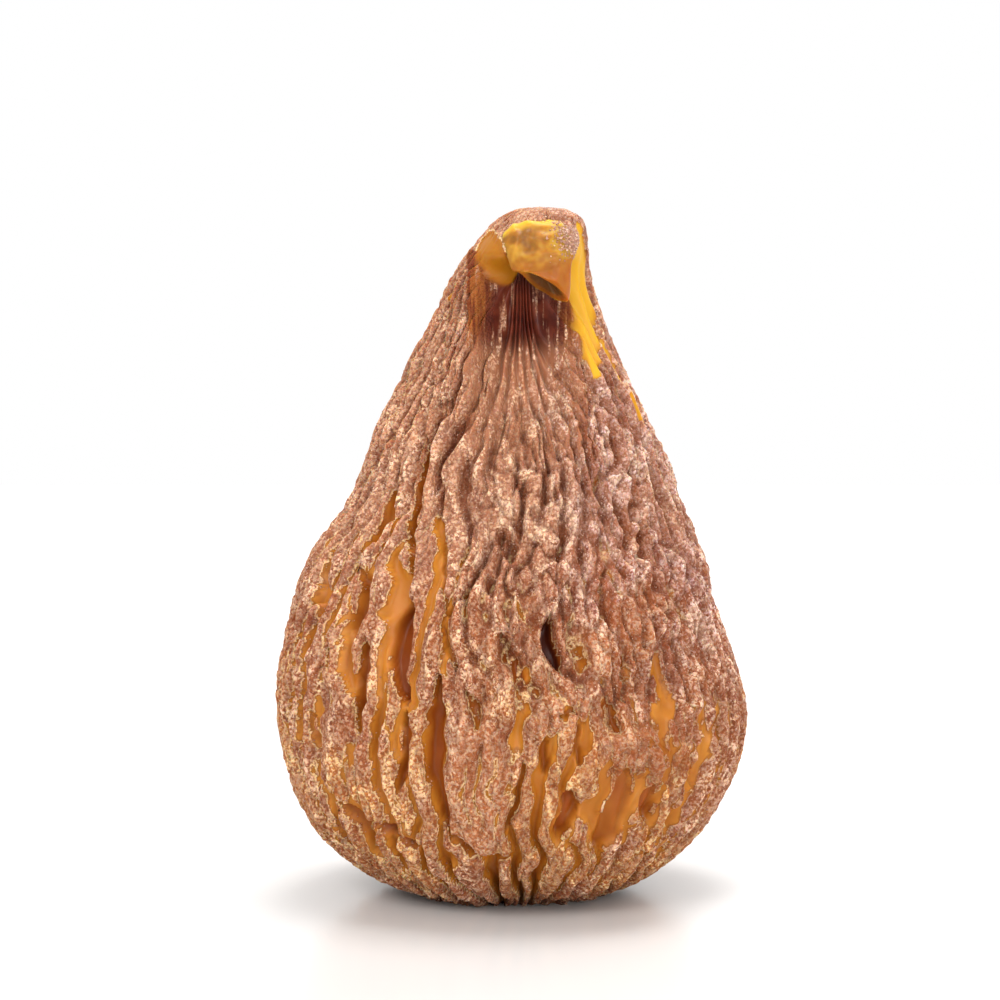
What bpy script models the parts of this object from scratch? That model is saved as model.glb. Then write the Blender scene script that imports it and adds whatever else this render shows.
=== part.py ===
"""A dried fig standing on its broad end, with the neck upright and the stalk folded forward over it.

The fruit is one grown piece, so it is one solid. Its skin is a surface worked out from two numbers:
theta, the angle round the fruit, and path, the way up from the middle of the underside to the tip.
Sizes are in millimetres, and MM turns them into metres. +Z is up, and the front faces -Y.
"""

import math

import bmesh
import bpy
import numpy as np

MM = 0.001

# The driving sizes
HEIGHT = 52.6
BELLY_WIDTH = 35.6
BELLY_DEPTH = 31.6

# The fruit's profile, as shares: height, then reach to the left, right, front and back of the axis.
# Heights are shares of HEIGHT, and reaches are shares of half the belly's width or depth.
STATIONS = np.array([
    [0.000, 0.000, 0.000, 0.000, 0.000],
    [0.000, 0.190, 0.190, 0.190, 0.200],
    [0.003, 0.370, 0.370, 0.370, 0.390],
    [0.021, 0.550, 0.560, 0.560, 0.560],
    [0.049, 0.700, 0.685, 0.720, 0.710],
    [0.105, 0.866, 0.850, 0.870, 0.870],
    [0.190, 0.972, 0.980, 0.965, 0.985],
    [0.270, 1.005, 1.010, 0.990, 1.010],
    [0.365, 0.983, 0.928, 0.970, 0.970],
    [0.460, 0.893, 0.838, 0.890, 0.870],
    [0.545, 0.735, 0.732, 0.760, 0.760],
    [0.603, 0.654, 0.672, 0.670, 0.670],
    [0.690, 0.546, 0.574, 0.560, 0.550],
    [0.808, 0.368, 0.410, 0.430, 0.370],
    [0.885, 0.276, 0.338, 0.390, 0.290],
    [0.940, 0.175, 0.324, 0.310, 0.250],
    [0.980, 0.075, 0.305, 0.190, 0.200],
    [0.997, -0.020, 0.226, 0.100, 0.110],
    [1.000, -0.118, 0.118, 0.000, 0.000],
])
PROFILE_POINTS = 1200

# The neck leans back a little over the first two heights, and its tip nods forward over the last two
LEAN = 1.2
LEAN_HEIGHTS = [22.0, 40.0]
NOD = 3.0
NOD_HEIGHTS = [44.0, 52.0]

# The mesh
COLUMNS = 168
ROWS = 128
TRIANGLES = 11000

# The viewpoint from which the furrows of the front are drawn
VIEW_RISE = math.radians(7.0)
VIEW_DISTANCE = 337.0
VIEW_ACROSS = -0.9
VIEW_HEIGHT = 30.0

# The furrows of the front, as they are seen from that viewpoint: across and up at the head, across and up
# at the foot, how far the middle bows to the right, half the width, and the depth.
FRONT_FURROWS = [
    # The left flank
    (-14.1, 24.9, -15.8, 18.2, 0.2, 0.52, 1.0),
    (-11.6, 24.6, -12.7, 19.9, 0.4, 0.80, 1.1),
    (-14.2, 18.8, -14.0, 16.6, 0.0, 0.32, 0.7),
    (-15.5, 13.8, -15.0, 10.6, -0.2, 0.42, 0.8),
    (-16.8, 11.4, -9.0, 0.5, -1.5, 0.25, 0.7),
    (-14.2, 8.0, -10.9, 3.5, 0.3, 0.52, 1.0),
    (-15.0, 5.5, -13.5, 3.6, 0.0, 0.40, 0.8),
    (-8.4, 35.8, -11.6, 30.8, -0.3, 0.28, 0.9),
    (-9.1, 30.6, -11.1, 26.2, 0.3, 0.62, 1.0),
    # Between the left flank and the middle
    (-6.4, 34.9, -7.7, 24.1, -0.5, 0.46, 1.4),
    (-7.7, 22.3, -8.4, 14.4, -0.9, 0.92, 1.5),
    (-11.3, 19.2, -11.8, 11.9, -0.2, 0.76, 1.3),
    (-8.4, 13.8, -8.9, 7.0, 0.3, 0.42, 1.1),
    (-10.8, 5.1, -7.0, 2.8, -0.2, 0.60, 1.0),
    (-5.2, 28.3, -5.2, 21.0, -0.1, 0.24, 0.8),
    (-2.1, 25.7, -5.2, 20.7, 0.3, 0.24, 0.8),
    (-5.2, 20.6, -4.5, 16.7, -0.2, 0.26, 0.9),
    (-5.6, 16.5, -4.8, 4.5, -0.9, 0.70, 1.3),
    # The middle
    (-0.8, 27.3, 0.0, 25.5, 0.2, 0.60, 1.5),
    (-0.5, 23.3, -0.2, 20.3, 0.1, 0.40, 1.0),
    (-1.7, 24.1, -1.7, 22.2, 0.0, 0.30, 0.7),
    (-1.0, 19.5, 0.7, 15.2, 0.3, 0.60, 1.4),
    (0.3, 15.5, 2.1, 15.0, 0.2, 0.45, 0.9),
    (-3.5, 15.3, -2.7, 12.3, 0.1, 0.46, 1.0),
    (0.9, 12.0, -0.6, 3.6, 0.5, 0.26, 0.9),
    (-4.7, 4.3, -2.7, 2.5, -0.2, 0.48, 1.0),
    (-2.9, 2.5, 0.8, 2.2, 0.0, 0.48, 1.0),
    (2.9, 21.0, 3.8, 16.7, -0.2, 0.60, 2.4),
    (3.5, 17.6, 5.0, 16.3, -0.1, 0.50, 1.3),
    (4.7, 20.6, 5.3, 16.8, 0.2, 0.90, 0.9),
    (2.7, 11.7, 2.7, 8.9, -0.1, 0.38, 1.0),
    (3.4, 12.9, 4.5, 13.7, 0.2, 0.28, 0.8),
    (5.1, 12.9, 5.2, 9.1, 0.1, 0.34, 0.9),
    (4.6, 7.4, 3.6, 3.6, 0.4, 0.66, 1.2),
    # The right flank
    (4.3, 27.5, 3.7, 25.1, 0.0, 0.38, 1.0),
    (7.6, 25.2, 7.6, 19.6, -0.6, 0.32, 1.1),
    (6.9, 32.6, 6.6, 30.6, 0.0, 0.38, 0.9),
    (9.2, 28.9, 10.9, 27.7, 0.1, 0.30, 0.8),
    (10.3, 27.9, 10.2, 25.4, 0.1, 0.60, 1.2),
    (13.1, 25.5, 13.6, 23.3, 0.0, 0.30, 0.7),
    (13.5, 18.0, 13.8, 16.7, 0.0, 0.28, 0.7),
    (15.5, 19.2, 16.0, 17.6, 0.0, 0.32, 0.7),
    (8.5, 18.0, 8.8, 14.2, 0.1, 0.38, 1.0),
    (7.4, 14.6, 8.2, 12.1, 0.0, 0.72, 1.1),
    (8.9, 9.1, 6.7, 2.6, 0.5, 1.10, 1.0),
    (11.2, 8.3, 10.9, 4.7, -0.3, 0.66, 1.1),
    (10.0, 11.9, 11.6, 8.7, 1.3, 0.26, 0.9),
    (15.6, 14.4, 15.8, 7.4, 0.5, 0.46, 0.9),
    (14.1, 9.7, 14.3, 7.4, 0.0, 0.26, 0.7),
    (13.5, 5.3, 12.8, 3.7, 0.1, 0.38, 0.8),
    (9.1, 2.3, 10.3, 2.6, 0.2, 0.32, 0.7),
]

# Folds that stand up on the front, given in the same way, with a height in place of the depth
FRONT_FOLDS = [
    (7.0, 11.4, 12.0, 9.8, 0.5, 1.70, 0.90),
    (-2.6, 12.2, -2.3, 3.4, 0.0, 2.70, 0.70),
    (6.1, 19.2, 7.2, 17.0, 0.1, 1.40, 0.70),
    (9.0, 21.5, 9.6, 18.0, 0.2, 1.60, 0.50),
    (1.5, 12.6, 5.6, 14.6, 0.3, 1.50, 0.60),
]

# A drawn stroke: the number of points along it, where its edge is and where its full depth starts, as
# shares of its half width (a fold is rounder than a furrow), the rounded shoulder outside the edge and its
# share of the depth, how much of the width is left at its two ends, how far noise of a given size bends a
# furrow's edge, and how far forwards the skin has to face for strokes to be drawn on it
STROKE_POINTS = 9
STROKE_EDGE = 1.20
SHOULDER_EDGE = 2.30
SHOULDER_SHARE = 0.28
FURROW_FLOOR = 0.60
FOLD_CREST = 0.45
STROKE_END = 0.25
EDGE_WARP = 0.34
WARP_SIZE = 1.7
DRAWN_FRONT = 0.12

# The furrows that the rule makes all round: they run up the fruit, wander, open and close, and are wider
# where the skin faces left
FURROWS_ROUND = 42
FURROW_WANDER = 0.85
WANDER_SIZE = 7.0
FINE_WANDER = 0.30
FINE_WANDER_SIZE = 2.3
OPENING_SIZE = 3.4
OPENING_STRETCH = 2.6
FINE_OPENING = 0.35
FINE_OPENING_SIZE = 1.2
FURROW_OPEN = 0.14
FURROW_OPEN_LEFT = 0.12
FURROW_OPEN_SPREAD = 0.34
FURROW_BANK = [0.18, -0.10]
RIB_ROUNDING = 0.42
FURROW_FULL = 0.55
FURROW_FULL_SPREAD = 0.75
FURROW_DEPTH = 1.15
FRONT_SHARE = 0.62
NECK_SHARE = 0.35
FOOT_EXTRA = 0.35
FOOT_HEIGHTS = [12.0, 4.0]

# The broad lumps, and the knobs of the right side, which are lower where the outline runs
LUMP_SIZE = 8.0
LUMP_HEIGHT = 0.50
KNOB_SIZE = 3.0
KNOB_STRETCH = 1.9
KNOB_WARP = 0.26
KNOB_HEIGHT = 0.62
KNOB_EDGE = 0.55
KNOB_TURN = 0.15
RIGHT_EDGE = [0.72, 0.97]
RIGHT_EDGE_CALM = 0.60

# Where the relief fades: shares of facing forwards, to the left or to the right, heights, and distances
# along the skin from the tip or from the middle of the underside
FACING_FRONT = [0.25, 0.60]
FACING_LEFT = [0.35, 0.75]
FACING_RIGHT = [-0.1, 0.5]
KNOB_RISE = [2.0, 10.0]
KNOB_FADE = [9.0, 20.0]
NECK_FADE = [5.0, 14.0]
TIP_FADE = [0.8, 4.0]
BASE_FADE = [5.5, 11.0]

# Noise, on a lattice of random slopes that repeats, and the place in it where each pattern is read
NOISE_CELLS = 32
NOISE_GAIN = 1.6
SEED = 7
PLACE = {"wander": 4.0, "fine_wander": 8.0, "opening": 6.0, "fine_opening": 1.0, "lumps": 9.0, "fibres": 2.0}
WARP_PLACES = [3.1, 11.7, 23.3]

# The hollow down the front of the neck, and the fibres that run down it
HOLLOW_TOP = 49.4
HOLLOW_BROW = 1.4
HOLLOW_FOOT = 33.0
HOLLOW_SLOPE = 36.0
HOLLOW_FULL = 44.0
HOLLOW_SLOPE_SHARE = 0.36
HOLLOW_MIDDLE = 1.10
HOLLOW_HALF_WIDTH = 4.20
HOLLOW_SIDES = [1.10, 0.62]
HOLLOW_BACK = 0.6
HOLLOW_DEPTH = 3.4
FIBRE_SIZE = 0.42
FIBRE_STRETCH = 10.0
FIBRE_HEIGHT = 0.09

# The underside: how far it has settled, the distances from the axis between which it has, and the eye
SETTLE = 0.30
SETTLE_REACH = [10.0, 4.5]
EYE_RADIUS = 1.9
EYE_FLOOR_RADIUS = 0.57
EYE_DEPTH = 1.3
EYE_BELOW = 5.0

# The stalk, folded forward over the top of the neck: its line, half widths and half thicknesses, the power
# that makes its oval boxy, and its cut, which slants across it and turns to face the front
STALK_LINE = np.array([
    [2.1, -1.2, 49.0],
    [2.1, -2.9, 50.2],
    [2.1, -4.7, 49.9],
    [2.2, -5.5, 48.3],
    [2.5, -5.1, 46.6],
])
STALK_HALF_WIDTHS = np.array([2.4, 2.8, 2.85, 2.30, 1.45])
STALK_HALF_THICKNESSES = np.array([1.3, 1.5, 1.3, 1.0, 0.8])
STALK_ROWS = 16
STALK_COLUMNS = 20
STALK_ROOT = 0.5
STALK_ROOT_LEAST = 0.2
STALK_THIN_EDGES = 0.35
STALK_BOXY = 0.66
CUT_SLANT = 0.85
CUT_FACING = -1.10
CUT_LIP = 0.62
CUT_LIP_DEPTH = 0.25
CUT_FLOOR = 0.30
CUT_FLOOR_DEPTH = 0.70

RANDOM = np.random.default_rng(SEED)
SLOPES = RANDOM.normal(size=(NOISE_CELLS, NOISE_CELLS, NOISE_CELLS, 3))
SLOPES /= np.linalg.norm(SLOPES, axis=3, keepdims=True)
CELL_POINTS = RANDOM.random(size=(NOISE_CELLS, NOISE_CELLS, NOISE_CELLS, 3))


def smooth_step(low, high, value):
    """0 at low, 1 at high, and a smooth rise between them. With low above high it falls."""
    share = np.clip((value - low) / (high - low), 0.0, 1.0)
    return share * share * (3.0 - 2.0 * share)


def curve_through(points, where):
    """The Catmull-Rom curve through the points, read at places counted in points from 0."""
    last = len(points) - 1
    index = np.clip(np.floor(where).astype(int), 0, last - 1)
    share = (where - index)[:, None]
    before = points[np.maximum(index - 1, 0)]
    start = points[index]
    end = points[index + 1]
    after = points[np.minimum(index + 2, last)]
    return 0.5 * (
        2.0 * start
        + (end - before) * share
        + (2.0 * before - 5.0 * start + 4.0 * end - after) * share**2
        + (3.0 * start - 3.0 * end + after - before) * share**3
    )


def profile():
    """The stations in millimetres, on a dense smooth curve, and the length of the way up at each."""
    half_width = BELLY_WIDTH / 2
    half_depth = BELLY_DEPTH / 2
    sizes = STATIONS * [HEIGHT, half_width, half_width, half_depth, half_depth]
    dense = curve_through(sizes, np.linspace(0, len(sizes) - 1, PROFILE_POINTS))
    dense[:, 0] = np.clip(dense[:, 0], 0.0, HEIGHT)
    radius = dense[:, 1:3].mean(axis=1)
    steps = np.hypot(np.diff(dense[:, 0]), np.diff(radius))
    return dense, np.concatenate([[0.0], np.cumsum(steps)])


PROFILE, PROFILE_PATH = profile()
PATH_END = PROFILE_PATH[-1]


def skin(theta, path):
    """The point of the unwrinkled skin at each angle and way up: a ring of four quarter ellipses."""
    height, left, right, front, back = (
        np.interp(path, PROFILE_PATH, PROFILE[:, column]) for column in range(5)
    )
    across = (right - left) / 2 + (right + left) / 2 * np.sin(theta)
    depth = np.where(np.cos(theta) > 0, front, back) * np.cos(theta)
    lean = LEAN * smooth_step(*LEAN_HEIGHTS, height) - NOD * smooth_step(*NOD_HEIGHTS, height)
    return np.stack([across, lean - depth, height], axis=-1)


def noise(points, place):
    """Gradient noise from about -1 to 1: smooth bumps about one unit across."""
    points = points + place
    cell = np.floor(points).astype(int)
    share = points - cell
    fade = share**3 * (share * (share * 6 - 15) + 10)
    total = np.zeros(points.shape[:-1])
    for corner in np.ndindex(2, 2, 2):
        at = (cell + corner) % NOISE_CELLS
        slope = SLOPES[at[..., 0], at[..., 1], at[..., 2]]
        weight = np.prod(np.where(corner, fade, 1 - fade), axis=-1)
        total += weight * np.sum(slope * (share - corner), axis=-1)
    return total * NOISE_GAIN


def knobs(points):
    """Rounded knobs with creases between them: the gap between the nearest two scattered points."""
    cell = np.floor(points).astype(int)
    nearest = np.full(points.shape[:-1], np.inf)
    second = nearest.copy()
    for step in np.ndindex(3, 3, 3):
        neighbour = cell + step - 1
        at = neighbour % NOISE_CELLS
        centre = neighbour + CELL_POINTS[at[..., 0], at[..., 1], at[..., 2]]
        distance = np.linalg.norm(points - centre, axis=-1)
        second = np.minimum(second, np.maximum(nearest, distance))
        nearest = np.minimum(nearest, distance)
    return smooth_step(0.0, KNOB_EDGE, second - nearest)


def seen(points):
    """Where points show from the viewpoint, as millimetres across and up on a plane through the axis."""
    up = np.array([0.0, math.sin(VIEW_RISE), math.cos(VIEW_RISE)])
    away = np.array([0.0, math.cos(VIEW_RISE), -math.sin(VIEW_RISE)])
    offset = points - [VIEW_ACROSS, 0.0, VIEW_HEIGHT]
    scale = VIEW_DISTANCE / (VIEW_DISTANCE + offset @ away)
    across = VIEW_ACROSS + offset[..., 0] * scale
    return np.stack([across, VIEW_HEIGHT * math.cos(VIEW_RISE) + (offset @ up) * scale], axis=-1)


def drawn_line(stroke, front_points, front_seen):
    """The line on the skin that a stroke of FRONT_FURROWS or FRONT_FOLDS draws."""
    head_across, head_up, foot_across, foot_up, bow = stroke[:5]
    share = np.linspace(0, 1, STROKE_POINTS)
    across = head_across + (foot_across - head_across) * share + bow * np.sin(math.pi * share)
    up = head_up + (foot_up - head_up) * share
    gaps = np.hypot(
        front_seen[:, 0, None] - across[None, :], front_seen[:, 1, None] - up[None, :]
    )
    return front_points[gaps.argmin(axis=0)]


def stroke_share(points, line, half_width, full):
    """How far inside a tapering stroke each point is: 1 within the share full of its half width, a
    rounded shoulder outside its edge, and 0 beyond that."""
    taper = np.sqrt(np.sin(math.pi * np.linspace(0, 1, len(line))).clip(0))
    widths = half_width * (STROKE_END + (1.0 - STROKE_END) * taper)
    inside = np.zeros(len(points))
    middle = line.mean(axis=0)
    reach = np.linalg.norm(line - middle, axis=1).max() + half_width * SHOULDER_EDGE
    near = np.where(np.linalg.norm(points - middle, axis=1) < reach)[0]
    nearest = np.full(len(near), np.inf)
    for start, end, first, second in zip(line[:-1], line[1:], widths[:-1], widths[1:]):
        along = end - start
        length = max(float(along @ along), 1e-9)
        place = np.clip((points[near] - start) @ along / length, 0.0, 1.0)
        gap = np.linalg.norm(points[near] - start - place[:, None] * along, axis=1)
        nearest = np.minimum(nearest, gap / (first + (second - first) * place))
    shoulder = SHOULDER_SHARE * smooth_step(SHOULDER_EDGE, full, nearest)
    inside[near] = shoulder + (1.0 - SHOULDER_SHARE) * smooth_step(STROKE_EDGE, full, nearest)
    return inside


def drawn(strokes, theta, points, bent, full):
    """What a list of strokes gives each point, the greatest where they meet: the plain share, and the
    share times each stroke's own depth or height."""
    front_points = points[np.cos(theta) > DRAWN_FRONT]
    front_seen = seen(front_points)
    plain = np.zeros(len(points))
    scaled = np.zeros(len(points))
    for stroke in strokes:
        line = drawn_line(stroke, front_points, front_seen)
        half_width, amount = stroke[5:]
        share = stroke_share(bent, line, half_width, full)
        plain = np.maximum(plain, share)
        scaled = np.maximum(scaled, amount * share)
    return plain, scaled


def hollow_share(points):
    """How far inside the hollow of the neck's front each point is, from 0 to 1."""
    across = np.abs(points[:, 0] - HOLLOW_MIDDLE) / HOLLOW_HALF_WIDTH
    sides = smooth_step(*HOLLOW_SIDES, across)
    brow = smooth_step(HOLLOW_TOP, HOLLOW_TOP - HOLLOW_BROW, points[:, 2])
    slope = np.interp(
        points[:, 2], [HOLLOW_FOOT, HOLLOW_SLOPE, HOLLOW_FULL], [0.0, HOLLOW_SLOPE_SHARE, 1.0]
    )
    return sides * brow * slope * (points[:, 1] < HOLLOW_BACK)


def furrow_rule(theta, rolled):
    """The depth share of the furrows that run up the fruit: stripes round it whose phase and width
    wander with noise, so that they fork, open and close. With it, how far each point is up the wave
    between two furrows."""
    wander = FURROW_WANDER * noise(rolled / WANDER_SIZE, PLACE["wander"])
    wander += FINE_WANDER * noise(rolled / FINE_WANDER_SIZE, PLACE["fine_wander"])
    across = 0.5 - 0.5 * np.cos(theta * FURROWS_ROUND + math.tau * wander)
    stretched = rolled * [1.0, 1.0, 1.0 / OPENING_STRETCH]
    opening = noise(stretched / OPENING_SIZE, PLACE["opening"])
    opening += FINE_OPENING * noise(stretched / FINE_OPENING_SIZE, PLACE["fine_opening"])
    left = smooth_step(*FACING_LEFT, -np.sin(theta))
    width = FURROW_OPEN + FURROW_OPEN_LEFT * left + FURROW_OPEN_SPREAD * opening
    full = np.clip(FURROW_FULL + FURROW_FULL_SPREAD * opening, 0.0, 1.0)
    return smooth_step(width + FURROW_BANK[0], width + FURROW_BANK[1], across) * full, across - 0.5


def relief(theta, path, points):
    """How far the skin stands out from its smooth shape at each point."""
    ring = BELLY_WIDTH / 2
    rolled = np.stack([ring * np.sin(theta), ring * np.cos(theta), path], axis=1)
    warp = np.stack([noise(points / WARP_SIZE, place) for place in WARP_PLACES], axis=1)
    bent = points + EDGE_WARP * warp
    hollow = hollow_share(points)
    neck = smooth_step(*NECK_FADE, PATH_END - path)
    tip = smooth_step(*TIP_FADE, PATH_END - path)
    front = smooth_step(*FACING_FRONT, np.cos(theta))
    right = smooth_step(*FACING_RIGHT, np.sin(theta - KNOB_TURN))

    drawn_depth = drawn(FRONT_FURROWS, theta, points, bent, FURROW_FLOOR)[1]
    raised_share, raised = drawn(FRONT_FOLDS, theta, points, points, FOLD_CREST)
    furrow, rib = furrow_rule(theta, rolled)
    furrow *= 1.0 - raised_share
    rounding = RIB_ROUNDING * rib * neck * smooth_step(*BASE_FADE, path)
    ruled = FURROW_DEPTH * furrow * smooth_step(*BASE_FADE, path) * tip
    ruled *= (1.0 - (1.0 - FRONT_SHARE) * front) * (NECK_SHARE + (1.0 - NECK_SHARE) * neck)
    ruled *= 1.0 + FOOT_EXTRA * smooth_step(*FOOT_HEIGHTS, points[:, 2])
    squashed = points * [1.0, 1.0, 1.0 / KNOB_STRETCH] / KNOB_SIZE + KNOB_WARP * warp
    creases = KNOB_HEIGHT * (1.0 - knobs(squashed)) * smooth_step(*KNOB_FADE, PATH_END - path)
    creases *= right * smooth_step(*KNOB_RISE, points[:, 2])
    creases *= 1.0 - RIGHT_EDGE_CALM * smooth_step(*RIGHT_EDGE, np.sin(theta))
    lumps = LUMP_HEIGHT * noise(points / LUMP_SIZE, PLACE["lumps"]) * neck
    combed = points * [1.0, 1.0 / FIBRE_STRETCH, 1.0 / FIBRE_STRETCH] / FIBRE_SIZE
    fibres = FIBRE_HEIGHT * noise(combed, PLACE["fibres"]) * hollow

    sunk = np.maximum(np.maximum(drawn_depth, ruled), creases) * (1.0 - hollow)
    return lumps + raised + rounding + fibres - sunk - HOLLOW_DEPTH * hollow


def outward(points, columns):
    """The unit normals of a grid of rings, from the way round and the way up."""
    grid = points.reshape(-1, columns, 3)
    round_way = np.roll(grid, -1, axis=1) - np.roll(grid, 1, axis=1)
    up_way = np.gradient(grid, axis=0)
    normals = np.cross(round_way, up_way).reshape(-1, 3)
    return normals / np.maximum(np.linalg.norm(normals, axis=1, keepdims=True), 1e-9)


def settled(points):
    """The fruit after it has settled on its base: a flat at height 0, with the eye sunk in its middle."""
    from_axis = np.hypot(points[:, 0], points[:, 1])
    flat = np.maximum(points[:, 2] - SETTLE * smooth_step(*SETTLE_REACH, from_axis), 0.0)
    eye = EYE_DEPTH * smooth_step(EYE_RADIUS, EYE_FLOOR_RADIUS, from_axis)
    return np.column_stack([points[:, :2], flat + eye * (points[:, 2] < EYE_BELOW)])


def closed_mesh(name, rings, bottom, top):
    """A mesh from rings of points, closed by a fan of triangles to a point at each end."""
    rows, columns = rings.shape[:2]
    points = np.concatenate([[bottom], rings.reshape(-1, 3), [top]]) * MM
    here = np.arange(columns)
    after = (here + 1) % columns
    faces = [(0, 1 + b, 1 + a) for a, b in zip(here, after)]
    for row in range(rows - 1):
        low = 1 + row * columns
        high = low + columns
        faces += [(low + a, low + b, high + b, high + a) for a, b in zip(here, after)]
    last = 1 + (rows - 1) * columns
    faces += [(last + a, last + b, len(points) - 1) for a, b in zip(here, after)]
    mesh = bpy.data.meshes.new(name)
    mesh.from_pydata(points.tolist(), [], [[int(i) for i in face] for face in faces])
    mesh.validate()
    return mesh


def fruit_mesh():
    """The wrinkled fruit."""
    paths = np.linspace(0, PATH_END, ROWS + 2)[1:-1]
    theta, path = np.meshgrid(np.arange(COLUMNS) / COLUMNS * math.tau, paths)
    theta = theta.ravel()
    path = path.ravel()
    points = skin(theta, path)
    heights = relief(theta, path, points)
    points = settled(points + outward(points, COLUMNS) * heights[:, None])
    rings = points.reshape(ROWS, COLUMNS, 3)
    bottom = rings[0].mean(axis=0)
    return closed_mesh("fig", rings, bottom, rings[-1].mean(axis=0))


def stalk_mesh():
    """The folded stalk: flattened rings carried along its line, ending in a slanting, sunk cut."""
    last = len(STALK_LINE) - 1
    where = np.linspace(0, last, STALK_ROWS)
    line = curve_through(STALK_LINE, where)
    tangent = np.gradient(line, axis=0)
    tangent /= np.linalg.norm(tangent, axis=1, keepdims=True)
    side = np.array([1.0, 0.0, 0.0]) - tangent * tangent[:, :1]
    side /= np.linalg.norm(side, axis=1, keepdims=True)
    out = np.cross(tangent, side)
    width = np.interp(where, np.arange(last + 1), STALK_HALF_WIDTHS)
    thickness = np.interp(where, np.arange(last + 1), STALK_HALF_THICKNESSES)
    root = 1.0 - np.minimum(where / STALK_ROOT, 1.0)
    rounded = np.maximum(np.sqrt(1.0 - root**2), STALK_ROOT_LEAST)
    phi = np.arange(STALK_COLUMNS) / STALK_COLUMNS * math.tau
    boxy_across = np.sign(np.cos(phi)) * np.abs(np.cos(phi)) ** STALK_BOXY
    boxy_through = np.sign(np.sin(phi)) * np.abs(np.sin(phi)) ** STALK_BOXY
    across = (width * rounded)[:, None] * boxy_across
    through = (thickness * rounded)[:, None] * boxy_through * (1.0 - STALK_THIN_EDGES * np.cos(phi) ** 2)
    slant = (CUT_SLANT * across + CUT_FACING * through) * smooth_step(last - 1, last, where)[:, None]
    rings = line[:, None] + across[..., None] * side[:, None] + through[..., None] * out[:, None]
    rings += slant[..., None] * tangent[:, None]
    cut = rings[-1].mean(axis=0)
    lip = cut + (rings[-1] - cut) * CUT_LIP - tangent[-1] * CUT_LIP_DEPTH
    floor = cut + (rings[-1] - cut) * CUT_FLOOR - tangent[-1] * CUT_FLOOR_DEPTH
    rings = np.concatenate([rings, [lip], [floor]])
    return closed_mesh("stalk", rings, rings[0].mean(axis=0), floor.mean(axis=0))


def material(name, colour, roughness):
    """A plain Principled material."""
    made = bpy.data.materials.new(name)
    made.use_nodes = True
    shader = made.node_tree.nodes["Principled BSDF"]
    shader.inputs["Base Color"].default_value = (*colour, 1.0)
    shader.inputs["Roughness"].default_value = roughness
    shader.inputs["Metallic"].default_value = 0.0
    return made


def new_object(name, mesh, finish):
    """An object with its faces turned outwards and one material."""
    turned = bmesh.new()
    turned.from_mesh(mesh)
    bmesh.ops.recalc_face_normals(turned, faces=turned.faces)
    turned.to_mesh(mesh)
    turned.free()
    mesh.shade_smooth()
    mesh.materials.append(finish)
    made = bpy.data.objects.new(name, mesh)
    bpy.context.scene.collection.objects.link(made)
    return made


def main():
    """Clears the scene, then makes the fruit and joins its stalk to it."""
    for old in list(bpy.data.objects):
        bpy.data.objects.remove(old)
    dried_skin = material("dried_skin", (0.42, 0.20, 0.11), 0.6)
    fig = new_object("fig", fruit_mesh(), dried_skin)
    stalk = new_object("stalk_form", stalk_mesh(), dried_skin)
    stalk.hide_render = True
    stalk.display_type = "WIRE"
    thin = fig.modifiers.new("fewer_faces", "DECIMATE")
    thin.ratio = TRIANGLES / (2 * COLUMNS * ROWS)
    thin.use_collapse_triangulate = True
    join = fig.modifiers.new("join_stalk", "BOOLEAN")
    join.operation = "UNION"
    join.solver = "EXACT"
    join.object = stalk


main()
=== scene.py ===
# %% [markdown]
# # A dried fig
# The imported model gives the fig's size and place. This file gives it its looks: the wrinkled skin at full
# detail, the folded stalk, the sugar that has dried on the skin as crust and grains, and soft studio light.
# The shape is worked out here from the same sizes as the solid, so the fine skin lies on the plain one.

# %% Load the model as a fixed frame
import math

import bpy
import numpy as np
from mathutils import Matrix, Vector


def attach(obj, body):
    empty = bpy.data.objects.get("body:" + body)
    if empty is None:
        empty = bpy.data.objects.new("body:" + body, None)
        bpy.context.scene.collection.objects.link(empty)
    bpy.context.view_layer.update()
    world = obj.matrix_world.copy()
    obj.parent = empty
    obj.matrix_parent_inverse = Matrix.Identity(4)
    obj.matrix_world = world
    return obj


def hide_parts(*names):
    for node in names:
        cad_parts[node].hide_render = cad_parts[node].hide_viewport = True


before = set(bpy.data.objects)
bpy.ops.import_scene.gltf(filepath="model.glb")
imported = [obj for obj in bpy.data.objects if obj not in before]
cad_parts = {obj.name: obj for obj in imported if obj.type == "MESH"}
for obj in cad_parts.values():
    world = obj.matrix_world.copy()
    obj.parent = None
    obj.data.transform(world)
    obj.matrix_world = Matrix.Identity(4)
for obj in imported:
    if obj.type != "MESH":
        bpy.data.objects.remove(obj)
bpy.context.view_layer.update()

MM = 0.001

# %% [markdown]
# ## Small helpers
# Colours are picked as hex values, as a colour picker shows them, and Blender wants them linear, so one
# function turns them. Another adds a node with its settings and links in one call and gives back one of its
# outputs, so that a material reads from top to bottom. A third turns a closed grid of points into a mesh.


# %% Colour and node helpers
def linear(hex_colour):
    """An sRGB hex colour as linear red, green, blue and alpha."""
    shares = [int(hex_colour[at:at + 2], 16) / 255 for at in (1, 3, 5)]
    return (*[s / 12.92 if s <= 0.04045 else ((s + 0.055) / 1.055) ** 2.4 for s in shares], 1.0)


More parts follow.
